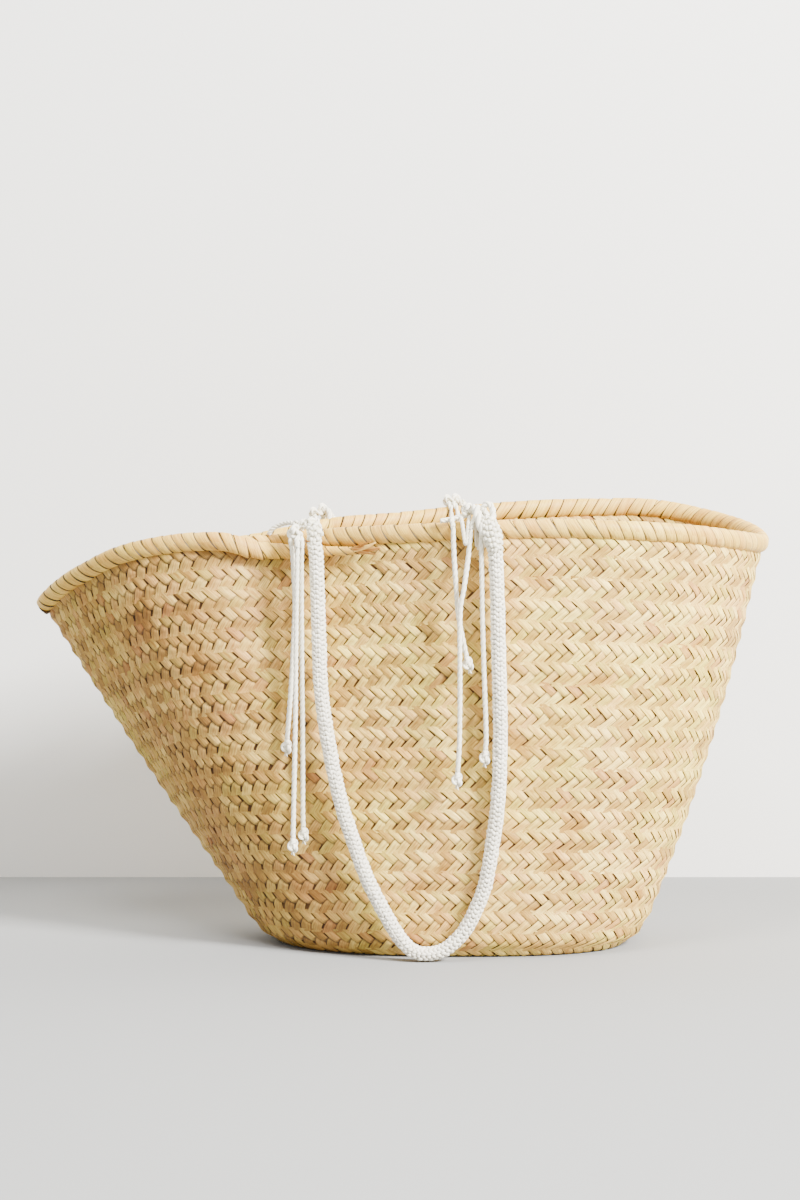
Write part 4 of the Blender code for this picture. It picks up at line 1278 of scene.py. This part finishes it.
Lashing = namedtuple("Lashing", "name handle end shoulder swell knots loops strands")
Knot = namedtuple("Knot", "centre lean radius")
Strand = namedtuple("Strand", "thickness route")
LASHINGS = (
    Lashing("front_left_lashing", "front", 0,
            ((-0.068, -0.0872, 0.3345), (-0.0696, -0.0862, 0.34), (-0.0738, -0.085, 0.3425),
             (-0.0782, -0.085, 0.3405)), (1.0, 1.12, 1.05, 0.88, 0.62),
            (Knot((-0.0836, -0.089, 0.3352), (0.6, 0.4, -1.0), 0.007),
             Knot((-0.08, -0.0815, 0.3402), (0.3, 1.0, -0.5), 0.0062)),
            (-0.0798, -0.0846),
            (Strand(1.15, ((-0.081, -0.0915, 0.332), (-0.0818, -0.0955, 0.329),
                           (-0.0815, -0.096, 0.324))),
             Strand(1.0, ((-0.079, -0.089, 0.332), (-0.0782, -0.0902, 0.3285),
                          (-0.0782, -0.09, 0.323))),
             Strand(1.0, ((-0.0856, -0.089, 0.332), (-0.0868, -0.0905, 0.329),
                          (-0.0864, -0.0905, 0.325))),
             Strand(0.95, ((-0.0825, -0.084, 0.34), (-0.087, -0.078, 0.342),
                           (-0.095, -0.0715, 0.34), (-0.1015, -0.069, 0.3365),
                           (-0.1045, -0.067, 0.332))))),
    Lashing("front_right_lashing", "front", -1,
            ((0.0696, -0.1226, 0.331), (0.0674, -0.1222, 0.3385), (0.0658, -0.1208, 0.3455),
             (0.063, -0.1185, 0.351)), (1.02, 1.26, 1.38, 1.15, 0.65),
            (Knot((0.0498, -0.11, 0.3545), (0.3, 0.4, -1.0), 0.0058),
             Knot((0.06, -0.1135, 0.3515), (0.6, -0.3, -1.0), 0.0066)),
            (0.0622, 0.057),
            (Strand(1.9, ((0.0625, -0.124, 0.337), (0.059, -0.1215, 0.345),
                          (0.0572, -0.118, 0.352), (0.0562, -0.113, 0.356),
                          (0.0548, -0.1085, 0.353))),
             Strand(1.3, ((0.068, -0.122, 0.344), (0.0692, -0.12, 0.352),
                          (0.0676, -0.1175, 0.3582), (0.0636, -0.116, 0.359),
                          (0.0605, -0.115, 0.353))),
             Strand(1.1, ((0.0665, -0.1225, 0.344), (0.064, -0.1195, 0.352),
                          (0.061, -0.114, 0.3565), (0.057, -0.108, 0.353))),
             Strand(1.0, ((0.05, -0.1095, 0.35), (0.044, -0.11, 0.349),
                          (0.037, -0.111, 0.3472), (0.029, -0.112, 0.346))),
             Strand(1.0, ((0.0385, -0.11, 0.3475), (0.0378, -0.1165, 0.347),
                          (0.0384, -0.1192, 0.3435), (0.0386, -0.1195, 0.342))),
             Strand(0.8, ((0.045, -0.111, 0.3485), (0.0456, -0.118, 0.345),
                          (0.047, -0.1195, 0.335), (0.0484, -0.1197, 0.3285),
                          (0.0494, -0.1195, 0.335), (0.0505, -0.118, 0.345),
                          (0.0515, -0.111, 0.3495))),
             Strand(1.0, ((0.056, -0.113, 0.35), (0.0545, -0.118, 0.347),
                          (0.053, -0.1195, 0.343), (0.0524, -0.1195, 0.34))),
             Strand(1.0, ((0.0615, -0.119, 0.347), (0.0602, -0.1207, 0.343),
                          (0.06, -0.1205, 0.338))))),
    Lashing("back_left_lashing", "back", 0,
            ((-0.0602, 0.0814, 0.326), (-0.061, 0.0802, 0.333), (-0.0628, 0.078, 0.338)),
            (1.0, 1.1, 1.1, 0.8),
            (Knot((-0.0655, 0.074, 0.34), (0.4, -0.3, -1.0), 0.0066),
             Knot((-0.072, 0.069, 0.3385), (0.8, 0.2, -0.6), 0.0054)),
            (-0.068, -0.0732),
            (Strand(1.0, ((-0.0715, 0.07, 0.3385), (-0.0735, 0.0775, 0.335),
                          (-0.0732, 0.0815, 0.326), (-0.073, 0.083, 0.318))),
             Strand(1.1, ((-0.064, 0.073, 0.342), (-0.06, 0.069, 0.34),
                          (-0.059, 0.065, 0.333))))),
    Lashing("back_right_lashing", "back", -1,
            ((0.0508, 0.1096, 0.33), (0.0492, 0.1082, 0.339), (0.047, 0.1055, 0.3435)),
            (1.0, 1.1, 1.1, 0.8),
            (Knot((0.0435, 0.102, 0.346), (0.4, -0.3, -1.0), 0.0066),
             Knot((0.0372, 0.096, 0.347), (0.8, 0.2, -0.6), 0.0052)),
            (0.0435, 0.0383),
            (Strand(1.0, ((0.0372, 0.096, 0.347), (0.0376, 0.1035, 0.345),
                          (0.0377, 0.1085, 0.335), (0.0375, 0.1095, 0.326))),)),
)


def lashing_object(row, settings, ropes, material, seed):
    """A rope's end bent over to its knots, and the loops that tie them to the roll."""
    points = smooth_route(ropes[row.handle], ROPE_STEP)
    last = points[:2][::-1] if row.end == 0 else points[-2:]
    start = last[1] + unit(last[1] - last[0]) * 0.0003
    shoulder = smooth_route((tuple(start), *row.shoulder), CORD_STEP)
    shares = np.linspace(0.0, 1.0, len(shoulder))
    swell = np.interp(shares, np.linspace(0.0, 1.0, len(row.swell)), row.swell)
    sleeve = knitted_rope(row.name + "_sleeve", shoulder, ROPE_DIAMETER / 2 * swell, settings,
                          material, seed)
    patches = []
    for number, knot in enumerate(row.knots):
        patches += tight_knot_patches(knot, 0.2 + 0.3 * number)
    side = 1 if row.handle == "back" else -1
    half_length = (MOUTH_LENGTH - ROLL_THICKNESS) / 2
    for number, x in enumerate(row.loops):
        turn = turn_at(x / half_length, side)
        points = loop_points(turn, CORD_DIAMETER / 2 + 0.0002, 0.001 - 0.002 * number)
        patches += twisted_ring_patches(points, CORD_DIAMETER, 0.3 * number)
    for number, strand in enumerate(row.strands):
        patches += twisted_patches(smooth_route(strand.route, 0.0008),
                                   CORD_DIAMETER * strand.thickness,
                                   settings.cord_lay * strand.thickness * 0.7, 0.1 * number)
    cords = make_mesh_object(row.name + "_cords", patches, material)
    return join(row.name + "_wraps", [sleeve, cords], material)


def tight_knot_patches(knot, tint):
    """A knot of twisted cord drawn tight."""
    line = overhand_points(knot.centre, unit(np.array(knot.lean)), knot.radius * 1.25,
                           knot.radius * 1.35)
    return twisted_ring_patches(line, knot.radius * 0.66, tint)


# Loose leaf ends

LeafEnd = namedtuple("LeafEnd", "width curl route")


def leaf_ends():
    """The leaf tips that stand off where the roll's closing end was cut."""
    tip = roll_at(np.array(ROLL_TURNS[3]))
    centre, out, up = tip[0], tip[2], tip[3]
    along = rim_axes(ROLL_TURNS[3])[0]
    leaves = []
    for width, spread_up, lift, length, curl in (
            (0.0052, 0.10, 0.0012, 0.0150, 0.4), (0.0044, 0.55, 0.0020, 0.0120, -0.5),
            (0.0040, -0.35, 0.0016, 0.0110, 0.6), (0.0030, 0.95, 0.0030, 0.0090, 1.1)):
        route = [centre - along * 0.010 + out * 0.0012 + up * spread_up * 0.002,
                 centre - along * 0.002 + out * 0.0022 + up * spread_up * 0.003,
                 centre + along * length * 0.45 + out * (0.0016 + lift) + up * spread_up * 0.006,
                 centre + along * length + out * (lift * 1.6) + up * spread_up * length * 0.9]
        leaves.append(LeafEnd(width, curl, route))
    return leaves


def leaf_end_patch(leaf, tint):
    """A flat leaf tip that narrows to its end."""
    points = smooth_route([tuple(place) for place in leaf.route], CORD_STEP)
    shares = np.linspace(0.0, 1.0, len(points))
    radii = leaf.width / 2 * (1.0 - 0.75 * shares ** 2.2)
    out, up = rim_axes(ROLL_TURNS[3])[1:]
    side = up + out * leaf.curl
    return tube_patch(points, radii, 10, side, tint, squash=0.09)


def stray_leaf_object(name, material):
    """All the loose leaf ends as one mesh."""
    patches = [leaf_end_patch(leaf, tint) for leaf, tint in zip(leaf_ends(), (0.9, 0.3, 0.98, 0.92))]
    return make_mesh_object(name, patches, material)


# Settings and operators


def length_setting(name, description, default, low, high):
    """A length that the side panel can change."""
    return FloatProperty(name=name, description=description, default=default, min=low, max=high,
                         unit="LENGTH")


class BraidSettings(bpy.types.PropertyGroup):
    """The straw braid's sizes."""

    strip_pitch: length_setting(
        "Strip pitch", "Distance from one strip to the next along a row",
        0.0092, 0.004, 0.03)
    strip_angle: FloatProperty(
        name="Strip angle", description="How steeply the strips cross a row",
        default=math.radians(53), min=0.5, max=1.3, subtype="ANGLE")
    tooth_height: length_setting(
        "Tooth height", "How far the two halves of a row reach into each other",
        0.0044, 0.001, 0.01)
    row_ridge: length_setting(
        "Row ridge", "How far the middle of a row stands out, each way",
        0.00085, 0.0, 0.003)
    skin: length_setting(
        "Skin", "From the middle of the wall to the strips",
        0.0011, 0.0005, 0.003)
    wide_leaves: FloatProperty(
        name="Wide leaves", description="How much wider the strips are at the front left",
        default=0.22, min=0.0, max=1.0, subtype="FACTOR")
    narrow_leaves: FloatProperty(
        name="Narrow leaves", description="How much narrower the strips are at the left tip",
        default=0.30, min=0.0, max=0.7, subtype="FACTOR")
    left_steepness: FloatProperty(
        name="Left steepness", description="How much steeper the strips stand at the left",
        default=0.52, min=0.0, max=1.0, subtype="FACTOR")
    looseness: length_setting(
        "Looseness", "How far strips stray from their places",
        0.0003, 0.0, 0.002)
    strip_kinds: IntProperty(
        name="Strip kinds", description="How many different strips there are",
        default=14, min=1, max=30)
    seed: IntProperty(name="Seed", description="Changes the strips' order", default=11)


class RimSettings(bpy.types.PropertyGroup):
    """The wrapped rim's sizes."""

    wrap_pitch: length_setting(
        "Wrap pitch", "Width of one turn of leaf",
        0.0100, 0.004, 0.03)
    wrap_slant: length_setting(
        "Wrap slant", "How far a wrap leans along the roll",
        0.0042, 0.0, 0.01)
    wrap_relief: FloatProperty(
        name="Wrap relief", description="How strongly the wraps overlap", default=1.0, min=0.0,
        max=3.0)
    seed: IntProperty(name="Seed", description="Changes the wraps' widths", default=5)


class RopeSettings(bpy.types.PropertyGroup):
    """The ropes' and cords' sizes and colour."""

    stitch_length: length_setting(
        "Stitch length", "Length of one knitted stitch along the rope",
        0.0038, 0.001, 0.01)
    stitches_round: IntProperty(
        name="Stitches round", description="Columns of stitches round the rope", default=7,
        min=4, max=16)
    stitch_lean: FloatProperty(
        name="Stitch lean", description="How far a stitch's leg leans from the rope's line",
        default=math.radians(30), min=0.0, max=1.2, subtype="ANGLE")
    cord_lay: length_setting(
        "Cord lay", "Length of one whole twist of the thin cord",
        0.016, 0.005, 0.05)
    colour: FloatVectorProperty(
        name="Cotton", description="Colour of the cotton", subtype="COLOR", size=3, min=0.0,
        max=1.0, default=linear(250, 243, 226))


class StageSettings(bpy.types.PropertyGroup):
    """The floor, the wall behind and the light."""

    floor_colour: FloatVectorProperty(
        name="Floor", description="Colour of the floor", subtype="COLOR", size=3, min=0.0,
        max=1.0, default=linear(140, 140, 138))
    wall_colour: FloatVectorProperty(
        name="Wall", description="Colour of the plaster behind", subtype="COLOR", size=3,
        min=0.0, max=1.0, default=linear(222, 220, 214))
    light: FloatProperty(
        name="Light", description="Power of the large soft light", default=580.0, min=0.0,
        max=2000.0, unit="POWER")
    sky: FloatProperty(
        name="Sky", description="Strength of the even light from all round", default=1.08,
        min=0.0, max=5.0)


class BAG_OT_camera(bpy.types.Operator):
    """Sets the camera where the photo was taken"""

    bl_idname = "bag.camera"
    bl_label = "Camera"

    def execute(self, context):
        data = bpy.data.cameras.new("photo camera")
        data.lens = CAMERA_LENS
        data.sensor_width = SENSOR_WIDTH
        camera = place_object("photo camera", data)
        camera.location = CAMERA_PLACE
        camera.rotation_euler = (CAMERA_PITCH, 0.0, 0.0)
        context.scene.camera = camera
        return {"FINISHED"}


class BAG_OT_handles(bpy.types.Operator):
    """Makes the two knitted rope handles"""

    bl_idname = "bag.handles"
    bl_label = "Rope handles"

    def execute(self, context):
        settings = context.scene.bag_ropes
        routes = {"front_handle": FRONT_HANDLE_ROUTE, "back_handle": BACK_HANDLE_ROUTE}
        for seed, (name, route) in enumerate(routes.items()):
            points = smooth_route(route, ROPE_STEP)
            rope = knitted_rope(name + "_rope", points, ROPE_DIAMETER / 2, settings,
                                finish("cotton_rope"), seed + 1)
            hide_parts(name)
            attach(rope, "root")
        return {"FINISHED"}


class BAG_OT_tails(bpy.types.Operator):
    """Makes the spare cords that hang from the lashings, with their knots"""

    bl_idname = "bag.tails"
    bl_label = "Spare cords"

    def execute(self, context):
        settings = context.scene.bag_ropes
        for row in TAILS:
            cord, knot, points = tail_objects(row, settings, finish("cotton_cord"))
            cord.name, knot.name = row.name + "_cord", row.name + "_end_knot"
            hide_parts(row.name)
            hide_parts(row.name + "_knot")
            for piece in (cord, knot):
                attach(piece, "root")
        return {"FINISHED"}


class BAG_OT_lashings(bpy.types.Operator):
    """Ties the rope ends to the rim"""

    bl_idname = "bag.lashings"
    bl_label = "Lashings"

    def execute(self, context):
        settings = context.scene.bag_ropes
        ropes = {"front": FRONT_HANDLE_ROUTE, "back": BACK_HANDLE_ROUTE}
        for seed, row in enumerate(LASHINGS):
            piece = lashing_object(row, settings, ropes, finish("cotton_cord"), seed + 40)
            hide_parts(row.name)
            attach(piece, "root")
        return {"FINISHED"}


class BAG_OT_braid(bpy.types.Operator):
    """Lays the rows of straw braid, outside and inside, and the backing between"""

    bl_idname = "bag.braid"
    bl_label = "Straw braid"

    def execute(self, context):
        settings = context.scene.bag_braid
        material = finish("straw_braid")
        middle = BOTTOM_ROWS + WALL_ROWS // 2 + 2
        top = BOTTOM_ROWS + WALL_ROWS
        full = Look((0.0, 0.14, 0.5, 0.86, 1.0), settings.row_ridge)
        plain = Look((0.0, 0.5, 1.0), settings.row_ridge * 0.5)
        parts = (("outer_braid_low", (BOTTOM_ROWS, middle), True, full),
                 ("outer_braid_high", (middle, top), True, full),
                 ("inner_braid", (BOTTOM_ROWS, top), False, plain),
                 ("bottom_braid", (0, BOTTOM_ROWS), True, plain),
                 ("inner_bottom_braid", (0, BOTTOM_ROWS), False, plain))
        for number, (name, rows, outside, look) in enumerate(parts):
            piece = braid_object(name, settings, rows, outside, material,
                                 settings.seed + number * 10, look)
            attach(piece, "root")
        backing = backing_object("braid_backing", finish("inner_straw"))
        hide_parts("basket_body")
        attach(backing, "root")
        return {"FINISHED"}


class BAG_OT_rim(bpy.types.Operator):
    """Wraps the rim roll"""

    bl_idname = "bag.rim"
    bl_label = "Wrapped rim"

    def execute(self, context):
        settings = context.scene.bag_rim
        wraps = rim_object("rim_wraps", settings, finish("rim_straw"))
        core = rim_core("rim_core", finish("rim_straw"))
        leaves = stray_leaf_object("loose_leaf_ends", finish("leaf_ends"))
        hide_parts("rim_roll")
        for piece in (wraps, core, leaves):
            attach(piece, "root")
        return {"FINISHED"}


class BAG_OT_stage(bpy.types.Operator):
    """Makes the floor, the wall behind the bag and the light"""

    bl_idname = "bag.stage"
    bl_label = "Stage"

    def execute(self, context):
        settings = context.scene.bag_stage
        for name, colour, corners in (
                ("floor", settings.floor_colour,
                 ((-4, -5, 0), (4, -5, 0), (4, 4, 0), (-4, 4, 0))),
                ("backdrop", settings.wall_colour,
                 ((-4, 0.30, 0), (4, 0.30, 0), (4, 0.30, 4), (-4, 0.30, 4)))):
            material, tree, shader = principled(name)
            shader.inputs["Base Color"].default_value = (*colour, 1.0)
            shader.inputs["Roughness"].default_value = 0.9
            show_one_side(tree, shader)
            mesh = bpy.data.meshes.new(name)
            mesh.from_pydata(corners, [], [(0, 1, 2, 3)])
            mesh.materials.append(material)
            thing = place_object(name, mesh)
        add_light("window light", (2.1, -1.8, 1.9), (0.0, 0.0, 0.15), 0.75, settings.light)
        add_light("wall light", (-0.5, -1.1, 2.5), (0.0, 0.3, 1.1), 0.8, settings.light / 7)
        world = bpy.data.worlds.new("even light")
        world.use_nodes = True
        sky = world.node_tree.nodes["Background"]
        sky.inputs["Color"].default_value = paint(240, 241, 244)
        sky.inputs["Strength"].default_value = settings.sky
        context.scene.world = world
        return {"FINISHED"}


def show_one_side(tree, shader):
    """Let a floor or wall be seen from its front alone."""
    clear = add_node(tree, "ShaderNodeBsdfTransparent")
    side = add_node(tree, "ShaderNodeNewGeometry")
    both = add_node(tree, "ShaderNodeMixShader",
                    {0: side.outputs["Backfacing"], 1: shader.outputs[0], 2: clear.outputs[0]})
    output = tree.nodes["Material Output"]
    tree.links.new(both.outputs[0], output.inputs["Surface"])


def add_light(name, place, target, size, power):
    """A square light that faces a point."""
    data = bpy.data.lights.new(name, "AREA")
    data.size = size
    data.energy = power
    lamp = place_object(name, data)
    lamp.location = place
    lamp.rotation_euler = (Vector(target) - Vector(place)).to_track_quat("-Z", "Y").to_euler()


# edge sets how dark a leaf's edges are painted as shade in the gaps and under the next strip or wrap, from
# edge_start across the leaf.
LeafLook = namedtuple("LeafLook", "colours darkening roughness fineness fade edge edge_start")
LEAF_LOOKS = {
    "straw_braid": LeafLook(
        ((0.0, 238, 212, 143), (0.22, 252, 231, 166), (0.42, 215, 186, 118),
         (0.58, 238, 205, 148), (0.72, 221, 203, 126), (0.84, 196, 165, 101),
         (0.975, 206, 164, 113)), (222, 194, 146), 0.6, 9.0, 0.7, 0.95, 0.43),
    "rim_straw": LeafLook(
        ((0.0, 228, 197, 119), (0.3, 235, 205, 129), (0.6, 223, 187, 112),
         (0.85, 228, 197, 112)), (226, 196, 140), 0.5, 14.0, 0.0, 0.95, 0.45),
    "leaf_ends": LeafLook(
        ((0.0, 222, 190, 128), (0.5, 208, 166, 106), (0.8, 194, 146, 92)),
        (222, 190, 140), 0.6, 9.0, 0.0, 0.2, 0.45),
    # The backing's dark brown is painted shade for the gaps between the strips.
    "inner_straw": LeafLook(
        ((0.0, 84, 58, 32), (0.5, 96, 66, 38)), (120, 90, 60), 0.8, 9.0, 0.0, 0.0, 0.45),
}
FINISHES = {}


def finish(name):
    """A material by name, made when it is first asked for."""
    if not FINISHES:
        leaf, cotton = leaf_fibre_group(), cotton_fibre_group()
        for key, look in LEAF_LOOKS.items():
            FINISHES[key] = leaf_material(key.replace("_", " "), leaf, look)
        colour = tuple(bpy.context.scene.bag_ropes.colour)
        FINISHES["cotton_rope"] = cotton_material("cotton rope", cotton, colour,
                                                  (204, 197, 178), 6.0, 0.4)
        FINISHES["cotton_cord"] = cotton_material("cotton cord", cotton, colour,
                                                  (196, 190, 160), 8.0, 0.5)
    return FINISHES[name]


class BAG_PT_panel(bpy.types.Panel):
    """Lists the bag's pieces"""

    bl_label = "Straw basket bag"
    bl_idname = "BAG_PT_panel"
    bl_space_type = "VIEW_3D"
    bl_region_type = "UI"
    bl_category = "Straw bag"

    def draw(self, context):
        for operator in OPERATORS:
            self.layout.operator(operator.bl_idname)


OPERATORS = (BAG_OT_camera, BAG_OT_handles, BAG_OT_tails, BAG_OT_lashings, BAG_OT_braid,
             BAG_OT_rim, BAG_OT_stage)
SETTINGS = {"bag_braid": BraidSettings, "bag_rim": RimSettings, "bag_ropes": RopeSettings,
            "bag_stage": StageSettings}


def register():
    """Add the settings, the operators and the panel."""
    for kind in (*SETTINGS.values(), *OPERATORS, BAG_PT_panel):
        bpy.utils.register_class(kind)
    for name, kind in SETTINGS.items():
        setattr(bpy.types.Scene, name, PointerProperty(type=kind))


def unregister():
    """Take them away again."""
    for name in SETTINGS:
        delattr(bpy.types.Scene, name)
    for kind in (BAG_PT_panel, *reversed(OPERATORS), *reversed(SETTINGS.values())):
        bpy.utils.unregister_class(kind)


def main():
    """Build the bag."""
    register()
    bpy.ops.bag.camera()
    bpy.ops.bag.handles()
    bpy.ops.bag.tails()
    bpy.ops.bag.lashings()
    bpy.ops.bag.braid()
    bpy.ops.bag.rim()
    bpy.ops.bag.stage()


if __name__ == "__main__":
    main()
